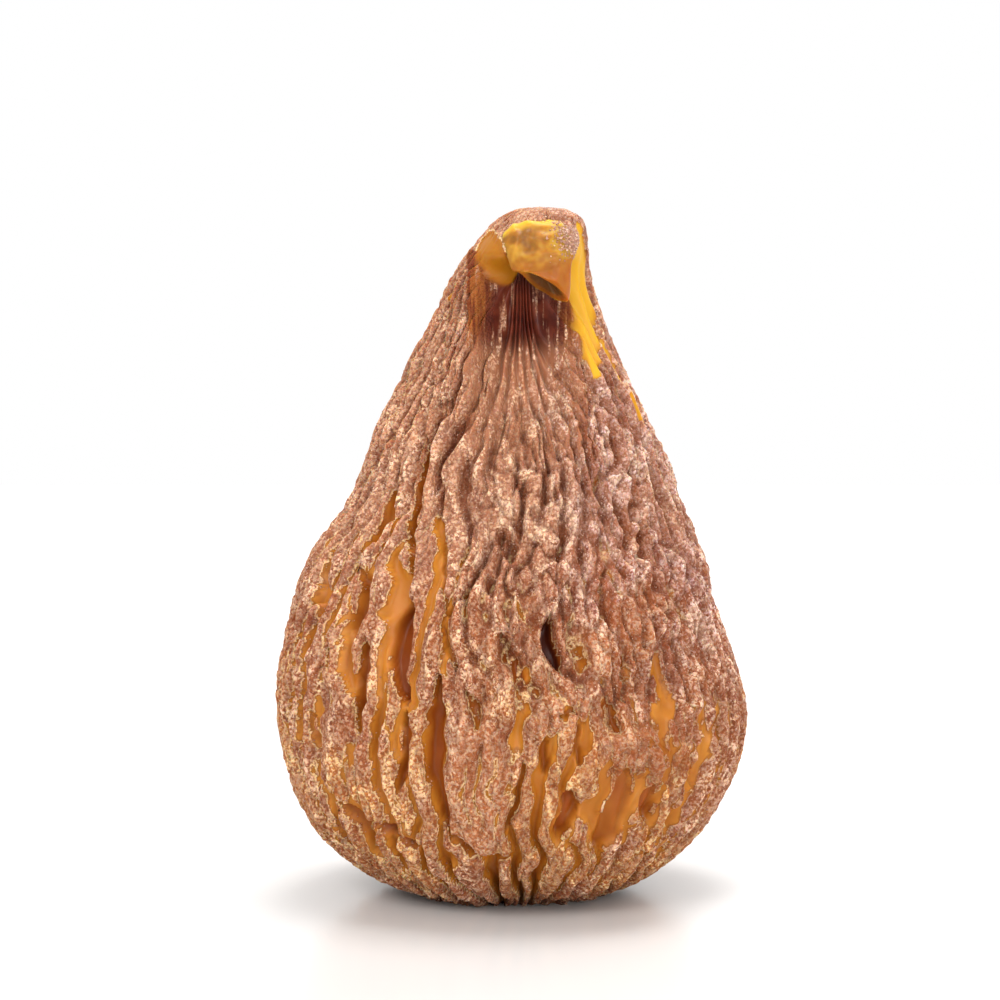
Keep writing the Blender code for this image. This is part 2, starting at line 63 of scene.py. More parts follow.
def add(tree, kind, inputs=(), settings=(), output=0):
    """Adds a shader node and returns one of its outputs. inputs are values, or sockets to link, in the order
    of the node's own inputs or under their names. settings are the node's own properties, and under stops
    they hold a colour ramp's places and hex colours."""
    node = tree.nodes.new("ShaderNode" + kind)
    settings = dict(settings)
    stops = settings.pop("stops", ())
    for name, value in settings.items():
        setattr(node, name, value)
    for _ in stops[2:]:
        node.color_ramp.elements.new(0.5)
    for number, (at, colour) in enumerate(stops):
        node.color_ramp.elements[number].position = at
        node.color_ramp.elements[number].color = linear(colour)
    named = inputs if isinstance(inputs, dict) else dict(enumerate(inputs))
    for key, value in named.items():
        if isinstance(value, bpy.types.NodeSocket):
            tree.links.new(value, node.inputs[key])
        else:
            node.inputs[key].default_value = value
    return node.outputs[output]


# The settings that the materials use again and again: a smooth rise from one value to another, a mix of two
# colours, and steps of arithmetic
SMOOTH = {"interpolation_type": "SMOOTHSTEP"}
COLOURS = {"data_type": "RGBA"}
TIMES = {"operation": "MULTIPLY"}
TIMES_PLUS = {"operation": "MULTIPLY_ADD"}
PLUS = {"operation": "ADD"}
MINUS = {"operation": "SUBTRACT"}
SIZE_ONLY = {"operation": "ABSOLUTE"}


def new_material(name):
    """An empty node material: its tree and its Principled shader."""
    made = bpy.data.materials.new(name)
    made.use_nodes = True
    return made, made.node_tree, made.node_tree.nodes["Principled BSDF"]


# %% A closed surface from a grid of points
def closed_mesh(name, rings, bottom, top, attributes):
    """A mesh from rings of points in millimetres, closed by a fan of triangles to a point at each end.
    attributes gives each point of the rings a number; the two end points take the mean of their ring."""
    rows, columns = rings.shape[:2]
    points = np.concatenate([[bottom], rings.reshape(-1, 3), [top]]) * MM
    grid = 1 + np.arange(rows * columns).reshape(rows, columns)
    after = np.roll(grid, -1, axis=1)
    sides = np.stack([grid[:-1], after[:-1], after[1:], grid[1:]], axis=-1).reshape(-1, 4)
    foot = np.stack([np.zeros(columns, int), after[0], grid[0]], axis=-1)
    head = np.stack([grid[-1], after[-1], np.full(columns, len(points) - 1)], axis=-1)
    mesh = bpy.data.meshes.new(name)
    mesh.from_pydata(points.tolist(), [], foot.tolist() + sides.tolist() + head.tolist())
    for key, values in attributes.items():
        field = values.reshape(rows, columns)
        column = np.concatenate([[field[0].mean()], values.ravel(), [field[-1].mean()]])
        layer = mesh.attributes.new(key, "FLOAT", "POINT")
        layer.data.foreach_set("value", column.astype(np.float32))
    mesh.shade_smooth()
    return mesh


def new_piece(name, mesh, finish):
    """A piece of the fig, which rides with it and takes the finish that it is given."""
    mesh.materials.append(finish)
    piece = bpy.data.objects.new(name, mesh)
    bpy.context.scene.collection.objects.link(piece)
    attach(piece, "root")
    return piece


# %% [markdown]
# ## The smooth shape under the wrinkles
# A fig is nearly a solid of revolution, but not quite: the photograph shows a left side that bulges low and
# a right side that runs straight up to the neck. So the profile is a list of stations, each with its own
# reach to the left, right, front and back, and a ring is four quarter ellipses between them.

# %% The driving sizes and the profile
HEIGHT = 52.6
BELLY_WIDTH = 35.6
BELLY_DEPTH = 31.6

# Height, then reach to the left, right, front and back, as shares of HEIGHT and of half the belly
STATIONS = np.array([
    [0.000, 0.000, 0.000, 0.000, 0.000],
    [0.000, 0.190, 0.190, 0.190, 0.200],
    [0.003, 0.370, 0.370, 0.370, 0.390],
    [0.021, 0.550, 0.560, 0.560, 0.560],
    [0.049, 0.700, 0.685, 0.720, 0.710],
    [0.105, 0.866, 0.850, 0.870, 0.870],
    [0.190, 0.972, 0.980, 0.965, 0.985],
    [0.270, 1.005, 1.010, 0.990, 1.010],
    [0.365, 0.983, 0.928, 0.970, 0.970],
    [0.460, 0.893, 0.838, 0.890, 0.870],
    [0.545, 0.735, 0.732, 0.760, 0.760],
    [0.603, 0.654, 0.672, 0.670, 0.670],
    [0.690, 0.546, 0.574, 0.560, 0.550],
    [0.808, 0.368, 0.410, 0.430, 0.370],
    [0.885, 0.276, 0.338, 0.390, 0.290],
    [0.940, 0.175, 0.324, 0.310, 0.250],
    [0.980, 0.075, 0.305, 0.190, 0.200],
    [0.997, -0.020, 0.226, 0.100, 0.110],
    [1.000, -0.118, 0.118, 0.000, 0.000],
])
PROFILE_POINTS = 1200

# The neck leans back a little over the first two heights, and its tip nods forward over the last two
LEAN = 1.2
LEAN_HEIGHTS = [22.0, 40.0]
NOD = 3.0
NOD_HEIGHTS = [44.0, 52.0]


def smooth_step(low, high, value):
    """0 at low, 1 at high, and a smooth rise between them. With low above high it falls."""
    share = np.clip((value - low) / (high - low), 0.0, 1.0)
    return share * share * (3.0 - 2.0 * share)


def curve_through(points, where):
    """The Catmull-Rom curve through the points, read at places counted in points from 0: in each span a
    cubic that leaves every point in the direction from the one before to the one after."""
    last = len(points) - 1
    index = np.clip(np.floor(where).astype(int), 0, last - 1)
    share = (where - index)[:, None]
    before = points[np.maximum(index - 1, 0)]
    start = points[index]
    end = points[index + 1]
    after = points[np.minimum(index + 2, last)]
    return 0.5 * (
        2.0 * start
        + (end - before) * share
        + (2.0 * before - 5.0 * start + 4.0 * end - after) * share**2
        + (3.0 * start - 3.0 * end + after - before) * share**3
    )


def profile():
    """The stations in millimetres, on a dense smooth curve, and the length of the way up at each."""
    half_width = BELLY_WIDTH / 2
    half_depth = BELLY_DEPTH / 2
    sizes = STATIONS * [HEIGHT, half_width, half_width, half_depth, half_depth]
    dense = curve_through(sizes, np.linspace(0, len(sizes) - 1, PROFILE_POINTS))
    dense[:, 0] = np.clip(dense[:, 0], 0.0, HEIGHT)
    radius = dense[:, 1:3].mean(axis=1)
    steps = np.hypot(np.diff(dense[:, 0]), np.diff(radius))
    return dense, np.concatenate([[0.0], np.cumsum(steps)])


PROFILE, PROFILE_PATH = profile()
PATH_END = PROFILE_PATH[-1]


def skin(theta, path):
    """The smooth skin. Across is the ring's middle plus its half width times sin(theta), depth is the
    front or back reach times cos(theta), and height is the profile's."""
    height, left, right, front, back = (
        np.interp(path, PROFILE_PATH, PROFILE[:, column]) for column in range(5)
    )
    across = (right - left) / 2 + (right + left) / 2 * np.sin(theta)
    depth = np.where(np.cos(theta) > 0, front, back) * np.cos(theta)
    lean = LEAN * smooth_step(*LEAN_HEIGHTS, height) - NOD * smooth_step(*NOD_HEIGHTS, height)
    return np.stack([across, lean - depth, height], axis=-1)


print("from the middle of the underside to the tip the skin measures", round(PATH_END, 1), "mm")

# %% [markdown]
# ## Noise
# Dried skin has no two wrinkles alike, but a render has to come out the same each time. So the noise is a
# lattice of random slopes from a fixed seed, read at any scale. Each pattern reads it at its own place.

# %% Smooth noise and rounded knobs
NOISE_CELLS = 32
NOISE_GAIN = 1.6
SEED = 7
PLACE = {"wander": 4.0, "fine_wander": 8.0, "opening": 6.0, "fine_opening": 1.0, "lumps": 9.0, "fibres": 2.0}
WARP_PLACES = [3.1, 11.7, 23.3]
KNOB_EDGE = 0.55

random = np.random.default_rng(SEED)
slopes = random.normal(size=(NOISE_CELLS, NOISE_CELLS, NOISE_CELLS, 3))
slopes /= np.linalg.norm(slopes, axis=3, keepdims=True)
cell_points = random.random(size=(NOISE_CELLS, NOISE_CELLS, NOISE_CELLS, 3))


def noise(points, place):
    """Gradient noise from about -1 to 1: at each lattice corner a slope times the way from it, faded
    from corner to corner with the curve 6t^5 - 15t^4 + 10t^3."""
    points = points + place
    cell = np.floor(points).astype(int)
    share = points - cell
    fade = share**3 * (share * (share * 6 - 15) + 10)
    total = np.zeros(points.shape[:-1])
    for corner in np.ndindex(2, 2, 2):
        at = (cell + corner) % NOISE_CELLS
        slope = slopes[at[..., 0], at[..., 1], at[..., 2]]
        weight = np.prod(np.where(corner, fade, 1 - fade), axis=-1)
        total += weight * np.sum(slope * (share - corner), axis=-1)
    return total * NOISE_GAIN


def knobs(points):
    """Rounded knobs with creases between them: one random point in each lattice cell, and at every place
    the gap between the distances to the nearest two of them."""
    cell = np.floor(points).astype(int)
    nearest = np.full(points.shape[:-1], np.inf)
    second = nearest.copy()
    for step in np.ndindex(3, 3, 3):
        neighbour = cell + step - 1
        at = neighbour % NOISE_CELLS
        centre = neighbour + cell_points[at[..., 0], at[..., 1], at[..., 2]]
        distance = np.linalg.norm(points - centre, axis=-1)
        second = np.minimum(second, np.maximum(nearest, distance))
        nearest = np.minimum(nearest, distance)
    return smooth_step(0.0, KNOB_EDGE, second - nearest)


print("noise of", NOISE_CELLS, "cells a side, seed", SEED)

# %% [markdown]
# ## The furrows and folds that the photograph shows
# The front has furrows that anyone who compares the two pictures would look for, such as the deep pocket in
# the middle and the wide amber ones on the left. They are drawn as strokes, as seen from the photograph's
# viewpoint, and each stroke finds the skin that it falls on.

# %% The viewpoint and the strokes
VIEW_RISE = math.radians(7.0)
VIEW_DISTANCE = 337.0
VIEW_ACROSS = -0.9
VIEW_HEIGHT = 30.0

# The strokes are in millimetres: across and up at the head, across and up at the foot, how far the middle
# bows to the right, half the width, and the depth
FRONT_FURROWS = [
    # The left flank
    (-14.1, 24.9, -15.8, 18.2, 0.2, 0.52, 1.0),
    (-11.6, 24.6, -12.7, 19.9, 0.4, 0.80, 1.1),
    (-14.2, 18.8, -14.0, 16.6, 0.0, 0.32, 0.7),
    (-15.5, 13.8, -15.0, 10.6, -0.2, 0.42, 0.8),
    (-16.8, 11.4, -9.0, 0.5, -1.5, 0.25, 0.7),
    (-14.2, 8.0, -10.9, 3.5, 0.3, 0.52, 1.0),
    (-15.0, 5.5, -13.5, 3.6, 0.0, 0.40, 0.8),
    (-8.4, 35.8, -11.6, 30.8, -0.3, 0.28, 0.9),
    (-9.1, 30.6, -11.1, 26.2, 0.3, 0.62, 1.0),
    # Between the left flank and the middle
    (-6.4, 34.9, -7.7, 24.1, -0.5, 0.46, 1.4),
    (-7.7, 22.3, -8.4, 14.4, -0.9, 0.92, 1.5),
    (-11.3, 19.2, -11.8, 11.9, -0.2, 0.76, 1.3),
    (-8.4, 13.8, -8.9, 7.0, 0.3, 0.42, 1.1),
    (-10.8, 5.1, -7.0, 2.8, -0.2, 0.60, 1.0),
    (-5.2, 28.3, -5.2, 21.0, -0.1, 0.24, 0.8),
    (-2.1, 25.7, -5.2, 20.7, 0.3, 0.24, 0.8),
    (-5.2, 20.6, -4.5, 16.7, -0.2, 0.26, 0.9),
    (-5.6, 16.5, -4.8, 4.5, -0.9, 0.70, 1.3),
    # The middle
    (-0.8, 27.3, 0.0, 25.5, 0.2, 0.60, 1.5),
    (-0.5, 23.3, -0.2, 20.3, 0.1, 0.40, 1.0),
    (-1.7, 24.1, -1.7, 22.2, 0.0, 0.30, 0.7),
    (-1.0, 19.5, 0.7, 15.2, 0.3, 0.60, 1.4),
    (0.3, 15.5, 2.1, 15.0, 0.2, 0.45, 0.9),
    (-3.5, 15.3, -2.7, 12.3, 0.1, 0.46, 1.0),
    (0.9, 12.0, -0.6, 3.6, 0.5, 0.26, 0.9),
    (-4.7, 4.3, -2.7, 2.5, -0.2, 0.48, 1.0),
    (-2.9, 2.5, 0.8, 2.2, 0.0, 0.48, 1.0),
    (2.9, 21.0, 3.8, 16.7, -0.2, 0.60, 2.4),
    (3.5, 17.6, 5.0, 16.3, -0.1, 0.50, 1.3),
    (4.7, 20.6, 5.3, 16.8, 0.2, 0.90, 0.9),
    (2.7, 11.7, 2.7, 8.9, -0.1, 0.38, 1.0),
    (3.4, 12.9, 4.5, 13.7, 0.2, 0.28, 0.8),
    (5.1, 12.9, 5.2, 9.1, 0.1, 0.34, 0.9),
    (4.6, 7.4, 3.6, 3.6, 0.4, 0.66, 1.2),
    # The right flank
    (4.3, 27.5, 3.7, 25.1, 0.0, 0.38, 1.0),
    (7.6, 25.2, 7.6, 19.6, -0.6, 0.32, 1.1),
    (6.9, 32.6, 6.6, 30.6, 0.0, 0.38, 0.9),
    (9.2, 28.9, 10.9, 27.7, 0.1, 0.30, 0.8),
    (10.3, 27.9, 10.2, 25.4, 0.1, 0.60, 1.2),
    (13.1, 25.5, 13.6, 23.3, 0.0, 0.30, 0.7),
    (13.5, 18.0, 13.8, 16.7, 0.0, 0.28, 0.7),
    (15.5, 19.2, 16.0, 17.6, 0.0, 0.32, 0.7),
    (8.5, 18.0, 8.8, 14.2, 0.1, 0.38, 1.0),
    (7.4, 14.6, 8.2, 12.1, 0.0, 0.72, 1.1),
    (8.9, 9.1, 6.7, 2.6, 0.5, 1.10, 1.0),
    (11.2, 8.3, 10.9, 4.7, -0.3, 0.66, 1.1),
    (10.0, 11.9, 11.6, 8.7, 1.3, 0.26, 0.9),
    (15.6, 14.4, 15.8, 7.4, 0.5, 0.46, 0.9),
    (14.1, 9.7, 14.3, 7.4, 0.0, 0.26, 0.7),
    (13.5, 5.3, 12.8, 3.7, 0.1, 0.38, 0.8),
    (9.1, 2.3, 10.3, 2.6, 0.2, 0.32, 0.7),
]

# Folds that stand up, given in the same way, with a height in place of the depth
FRONT_FOLDS = [
    (7.0, 11.4, 12.0, 9.8, 0.5, 1.70, 0.90),
    (-2.6, 12.2, -2.3, 3.4, 0.0, 2.70, 0.70),
    (6.1, 19.2, 7.2, 17.0, 0.1, 1.40, 0.70),
    (9.0, 21.5, 9.6, 18.0, 0.2, 1.60, 0.50),
    (1.5, 12.6, 5.6, 14.6, 0.3, 1.50, 0.60),
]

# Stretches of the neck that sugar hasn't covered, where light comes through the thin skin. The last number
# says how yellow it glows, which the finish paints into its colour as a painted glow
BARE_RIMS = [
    (5.2, 51.0, 6.6, 39.6, -0.2, 1.20, 1.0),
    (6.7, 42.4, 9.2, 37.4, -0.1, 0.34, 0.9),
    (9.1, 37.8, 10.6, 34.4, 0.0, 0.22, 0.7),
    (-2.3, 50.0, -1.4, 46.6, 0.0, 1.60, 0.2),
    (-4.2, 47.4, -4.9, 45.4, 0.0, 0.45, 0.3),
]

# %% How a stroke falls on the skin
# The number of points along a stroke, where its edge is and where its full depth starts, as shares of its
# half width, the rounded shoulder outside the edge and its share of the depth, how much of the width is left
# at the two ends, and how far forwards the skin has to face for a stroke to be drawn on it
STROKE_POINTS = 9
STROKE_EDGE = 1.20
SHOULDER_EDGE = 2.30
SHOULDER_SHARE = 0.28
FURROW_FLOOR = 0.60
FOLD_CREST = 0.45
STROKE_END = 0.25
DRAWN_FRONT = 0.12


def seen(points):
    """Where points show from the viewpoint, as millimetres across and up on a plane through the axis:
    the way from the aim, measured across and up the picture, times distance over distance plus depth."""
    up = np.array([0.0, math.sin(VIEW_RISE), math.cos(VIEW_RISE)])
    away = np.array([0.0, math.cos(VIEW_RISE), -math.sin(VIEW_RISE)])
    offset = points - [VIEW_ACROSS, 0.0, VIEW_HEIGHT]
    scale = VIEW_DISTANCE / (VIEW_DISTANCE + offset @ away)
    across = VIEW_ACROSS + offset[..., 0] * scale
    return np.stack([across, VIEW_HEIGHT * math.cos(VIEW_RISE) + (offset @ up) * scale], axis=-1)


def drawn_line(stroke, front_points, front_seen):
    """The line on the skin that a stroke draws: for each of its points the skin point seen nearest it."""
    head_across, head_up, foot_across, foot_up, bow = stroke[:5]
    share = np.linspace(0, 1, STROKE_POINTS)
    across = head_across + (foot_across - head_across) * share + bow * np.sin(math.pi * share)
    up = head_up + (foot_up - head_up) * share
    gaps = np.hypot(
        front_seen[:, 0, None] - across[None, :], front_seen[:, 1, None] - up[None, :]
    )
    return front_points[gaps.argmin(axis=0)]


def stroke_share(points, line, half_width, full):
    """How far inside a tapering stroke each point is: 1 within the share full of its half width, a
    rounded shoulder outside its edge, and 0 beyond that. The half width goes with the square root of a
    half sine along the stroke."""
    taper = np.sqrt(np.sin(math.pi * np.linspace(0, 1, len(line))).clip(0))
    widths = half_width * (STROKE_END + (1.0 - STROKE_END) * taper)
    inside = np.zeros(len(points))
    middle = line.mean(axis=0)
    reach = np.linalg.norm(line - middle, axis=1).max() + half_width * SHOULDER_EDGE
    near = np.where(np.linalg.norm(points - middle, axis=1) < reach)[0]
    nearest = np.full(len(near), np.inf)
    for start, end, first, second in zip(line[:-1], line[1:], widths[:-1], widths[1:]):
        along = end - start
        length = max(float(along @ along), 1e-9)
        place = np.clip((points[near] - start) @ along / length, 0.0, 1.0)
        gap = np.linalg.norm(points[near] - start - place[:, None] * along, axis=1)
        nearest = np.minimum(nearest, gap / (first + (second - first) * place))
    shoulder = SHOULDER_SHARE * smooth_step(SHOULDER_EDGE, full, nearest)
    inside[near] = shoulder + (1.0 - SHOULDER_SHARE) * smooth_step(STROKE_EDGE, full, nearest)
    return inside


def drawn(strokes, theta, points, bent, full):
    """What a list of strokes gives each point, the greatest where they meet: the plain share, and the
    share times each stroke's own last number."""
    front_points = points[np.cos(theta) > DRAWN_FRONT]
    front_seen = seen(front_points)
    plain = np.zeros(len(points))
    scaled = np.zeros(len(points))
    for stroke in strokes:
        line = drawn_line(stroke, front_points, front_seen)
        half_width, amount = stroke[5:]
        share = stroke_share(bent, line, half_width, full)
        plain = np.maximum(plain, share)
        scaled = np.maximum(scaled, amount * share)
    return plain, scaled


print(len(FRONT_FURROWS), "furrows and", len(FRONT_FOLDS), "folds are drawn on the front")

# %% [markdown]
# ## The wrinkles all round
# As a fig dries, its flesh shrinks and the skin buckles into ribs that run from neck to base. The rule takes
# evenly spaced stripes and lets noise push them sideways and open and close them, so that they fork and end.
# The right side has dried into knobs as well, and the front of the neck has sunk into a hollow of fibres.

# %% The furrow rule and the hollow of the neck
# How many furrows there are round the fig, how far and at what sizes in millimetres they wander, at what
# sizes they open and close, and how wide they are open, more on the left. Then the profile of one: its banks,
# how full its depth is, and how much the rib between two is rounded.
FURROWS_ROUND = 42
FURROW_WANDER = 0.85
WANDER_SIZE = 7.0
FINE_WANDER = 0.30
FINE_WANDER_SIZE = 2.3
OPENING_SIZE = 3.4
OPENING_STRETCH = 2.6
FINE_OPENING = 0.35
FINE_OPENING_SIZE = 1.2
FURROW_OPEN = 0.14
FURROW_OPEN_LEFT = 0.12
FURROW_OPEN_SPREAD = 0.34
FACING_LEFT = [0.35, 0.75]
FURROW_BANK = [0.18, -0.10]
FURROW_FULL = 0.55
FURROW_FULL_SPREAD = 0.75
BARE_WIDER = 0.08
BARE_FULL = [0.05, 0.45]
RIB_ROUNDING = 0.42

# The hollow: heights from its top to its foot, then how far across it lies, in millimetres and as shares of
# its half width
HOLLOW_TOP = 49.4
HOLLOW_BROW = 1.4
HOLLOW_FOOT = 33.0
HOLLOW_SLOPE = 36.0
HOLLOW_FULL = 44.0
HOLLOW_SLOPE_SHARE = 0.36
HOLLOW_MIDDLE = 1.10
HOLLOW_HALF_WIDTH = 4.20
HOLLOW_SIDES = [1.10, 0.62]
HOLLOW_BACK = 0.6


def furrow_rule(theta, rolled):
    """Stripes round the fruit: half of 1 - cos of the angle times their number, with noise added to the
    phase. Where a stripe's wave is under a width that noise changes too, there is a furrow. Furrows are
    wider on the left. The bare band that goes with one is a little wider than it is."""
    wander = FURROW_WANDER * noise(rolled / WANDER_SIZE, PLACE["wander"])
    wander += FINE_WANDER * noise(rolled / FINE_WANDER_SIZE, PLACE["fine_wander"])
    across = 0.5 - 0.5 * np.cos(theta * FURROWS_ROUND + math.tau * wander)
    stretched = rolled * [1.0, 1.0, 1.0 / OPENING_STRETCH]
    opening = noise(stretched / OPENING_SIZE, PLACE["opening"])
    opening += FINE_OPENING * noise(stretched / FINE_OPENING_SIZE, PLACE["fine_opening"])
    left = smooth_step(*FACING_LEFT, -np.sin(theta))
    width = FURROW_OPEN + FURROW_OPEN_LEFT * left + FURROW_OPEN_SPREAD * opening
    full = np.clip(FURROW_FULL + FURROW_FULL_SPREAD * opening, 0.0, 1.0)
    furrow = smooth_step(width + FURROW_BANK[0], width + FURROW_BANK[1], across) * full
    wider = width + BARE_WIDER
    band = smooth_step(wider + FURROW_BANK[0], wider + FURROW_BANK[1], across)
    return furrow, band * smooth_step(*BARE_FULL, full), across - 0.5


def hollow_share(points):
    """How far inside the hollow each point is: its sides, its brow and its long slope, multiplied."""
    across = np.abs(points[:, 0] - HOLLOW_MIDDLE) / HOLLOW_HALF_WIDTH
    sides = smooth_step(*HOLLOW_SIDES, across)
    brow = smooth_step(HOLLOW_TOP, HOLLOW_TOP - HOLLOW_BROW, points[:, 2])
    slope = np.interp(
        points[:, 2], [HOLLOW_FOOT, HOLLOW_SLOPE, HOLLOW_FULL], [0.0, HOLLOW_SLOPE_SHARE, 1.0]
    )
    return sides * brow * slope * (points[:, 1] < HOLLOW_BACK)


# %% The whole relief, as in the solid
# Sizes and heights in millimetres, then where each kind of relief fades: by which way the skin faces, by
# height, or by the way along the skin from the tip or from the middle of the underside
EDGE_WARP = 0.34
WARP_SIZE = 1.7
FURROW_DEPTH = 1.15
FRONT_SHARE = 0.62
NECK_SHARE = 0.35
FOOT_EXTRA = 0.35
FOOT_HEIGHTS = [12.0, 4.0]
LUMP_SIZE = 8.0
LUMP_HEIGHT = 0.50
KNOB_SIZE = 3.0
KNOB_STRETCH = 1.9
KNOB_WARP = 0.26
KNOB_HEIGHT = 0.62
KNOB_TURN = 0.15
HOLLOW_DEPTH = 3.4
FIBRE_SIZE = 0.42
FIBRE_STRETCH = 10.0
FIBRE_HEIGHT = 0.09

FACING_FRONT = [0.25, 0.60]
FACING_RIGHT = [-0.1, 0.5]
KNOB_RISE = [2.0, 10.0]
KNOB_FADE = [9.0, 20.0]
RIGHT_EDGE = [0.72, 0.97]
RIGHT_EDGE_CALM = 0.60
NECK_FADE = [5.0, 14.0]
TIP_FADE = [0.8, 4.0]
BASE_FADE = [5.5, 11.0]


def relief(theta, path, points):
    """How far the skin stands out from its smooth shape: lumps and folds, less the deepest of the drawn
    furrows, the rule's furrows and the creases between knobs, less the hollow. It also returns what the
    finish needs to know at each point."""
    ring = BELLY_WIDTH / 2
    rolled = np.stack([ring * np.sin(theta), ring * np.cos(theta), path], axis=1)
    warp = np.stack([noise(points / WARP_SIZE, place) for place in WARP_PLACES], axis=1)
    bent = points + EDGE_WARP * warp
    hollow = hollow_share(points)
    neck = smooth_step(*NECK_FADE, PATH_END - path)
    tip = smooth_step(*TIP_FADE, PATH_END - path)
    front = smooth_step(*FACING_FRONT, np.cos(theta))
    right = smooth_step(*FACING_RIGHT, np.sin(theta - KNOB_TURN))

    drawn_share, drawn_depth = drawn(FRONT_FURROWS, theta, points, bent, FURROW_FLOOR)
    raised_share, raised = drawn(FRONT_FOLDS, theta, points, points, FOLD_CREST)
    furrow, band, rib = furrow_rule(theta, rolled)
    furrow *= 1.0 - raised_share
    band *= 1.0 - raised_share
    rounding = RIB_ROUNDING * rib * neck * smooth_step(*BASE_FADE, path)
    ruled = FURROW_DEPTH * furrow * smooth_step(*BASE_FADE, path) * tip
    ruled *= (1.0 - (1.0 - FRONT_SHARE) * front) * (NECK_SHARE + (1.0 - NECK_SHARE) * neck)
    ruled *= 1.0 + FOOT_EXTRA * smooth_step(*FOOT_HEIGHTS, points[:, 2])
    squashed = points * [1.0, 1.0, 1.0 / KNOB_STRETCH] / KNOB_SIZE + KNOB_WARP * warp
    creases = KNOB_HEIGHT * (1.0 - knobs(squashed)) * smooth_step(*KNOB_FADE, PATH_END - path)
    creases *= right * smooth_step(*KNOB_RISE, points[:, 2])
    creases *= 1.0 - RIGHT_EDGE_CALM * smooth_step(*RIGHT_EDGE, np.sin(theta))
    lumps = LUMP_HEIGHT * noise(points / LUMP_SIZE, PLACE["lumps"]) * neck
    combed = points * [1.0, 1.0 / FIBRE_STRETCH, 1.0 / FIBRE_STRETCH] / FIBRE_SIZE
    fibres = FIBRE_HEIGHT * noise(combed, PLACE["fibres"]) * hollow

    bare, glow = drawn(BARE_RIMS, theta, points, points, FURROW_FLOOR)
    sunk = np.maximum(np.maximum(drawn_depth, ruled), creases) * (1.0 - hollow) * (1.0 - bare)
    known = {
        "sunk": sunk,
        "drawn": drawn_share * (1.0 - hollow),
        "band": band * tip * (1.0 - hollow),
        "hollow": hollow,
        "bare": bare,
        "glow": glow,
        "knobbly": right,
        "raised": raised_share,
    }
    return lumps + raised + rounding + fibres - sunk - HOLLOW_DEPTH * hollow, known


# %% [markdown]
# ## The skin as a mesh
# The grid is a little denser in front, where the camera is close to it, by taking a share of the angle's
# own sine away from the angle. On top of the solid's relief comes what is too fine for the solid: narrow
# ribs, small winding creases and crests, a granular crust and a thin raised lip along each furrow.

# %% The grid and the settled underside
# The grid's columns and rows and the share of the sine, then how far the underside sinks between two
# distances from the axis, and the width, depth and height limit of the eye in it, in millimetres
SKIN_COLUMNS = 416
SKIN_ROWS = 239
FRONT_DENSER = 0.38

SETTLE = 0.30
SETTLE_REACH = [10.0, 4.5]
EYE_RADIUS = 1.9
EYE_FLOOR_RADIUS = 0.57
EYE_DEPTH = 1.3
EYE_BELOW = 5.0


def outward(points, columns):
    """The unit normals of a grid of rings: the way round crossed with the way up."""
    grid = points.reshape(-1, columns, 3)
    round_way = np.roll(grid, -1, axis=1) - np.roll(grid, 1, axis=1)
    up_way = np.gradient(grid, axis=0)
    normals = np.cross(round_way, up_way).reshape(-1, 3)
    return normals / np.maximum(np.linalg.norm(normals, axis=1, keepdims=True), 1e-9)


def settled(points):
    """The fruit after it has settled on its base: a flat at height 0, with the eye sunk in its middle."""
    from_axis = np.hypot(points[:, 0], points[:, 1])
    flat = np.maximum(points[:, 2] - SETTLE * smooth_step(*SETTLE_REACH, from_axis), 0.0)
    eye = EYE_DEPTH * smooth_step(EYE_RADIUS, EYE_FLOOR_RADIUS, from_axis)
    return np.column_stack([points[:, :2], flat + eye * (points[:, 2] < EYE_BELOW)])


# %% Narrow ribs, and how deep each point lies
# Their number round the fig, how far and at what sizes they wander, where they come and go, the bank of
# their wave, and their depth in millimetres
FINE_RIBS_ROUND = 92
FINE_RIB_WANDER = [0.80, 0.25]
FINE_RIB_WANDER_SIZES = [3.0, 1.2]
FINE_RIB_GATE_SIZE = 2.6
FINE_RIB_GATE_STRETCH = 2.5
FINE_RIB_GATE = [-0.35, 0.25]
FINE_RIB_BANK = [0.50, 0.05]
FINE_RIB_DEPTH = 0.46

# How often the blur is taken, round the fig and up it: about 0.8 mm both ways
BLUR_ROUND = 34
BLUR_UP = 9


def fine_ribs(theta, rolled):
    """Narrow furrows between the solid's own: more than twice as many stripes, which wander and come and
    go with noise in the same way."""
    wander = sum(
        amount * noise(rolled / size, place)
        for amount, size, place in zip(FINE_RIB_WANDER, FINE_RIB_WANDER_SIZES, WARP_PLACES)
    )
    wave = 0.5 - 0.5 * np.cos(theta * FINE_RIBS_ROUND + math.tau * wander)
    stretched = rolled * [1.0, 1.0, 1.0 / FINE_RIB_GATE_STRETCH]
    gate = noise(stretched / FINE_RIB_GATE_SIZE, PLACE["fibres"])
    return smooth_step(*FINE_RIB_BANK, wave) * smooth_step(*FINE_RIB_GATE, gate)


def crevice(heights, columns):
    """How far each point lies under the mean of the skin round it. The mean comes from taking the average
    of three neighbours again and again, which is a Gaussian blur."""
    grid = heights.reshape(-1, columns)
    mean = grid
    for _ in range(BLUR_ROUND):
        mean = (np.roll(mean, 1, axis=1) + mean + np.roll(mean, -1, axis=1)) / 3
    for _ in range(BLUR_UP):
        edged = np.pad(mean, ((1, 1), (0, 0)), mode="edge")
        mean = (edged[:-2] + mean + edged[2:]) / 3
    return (mean - grid).ravel()


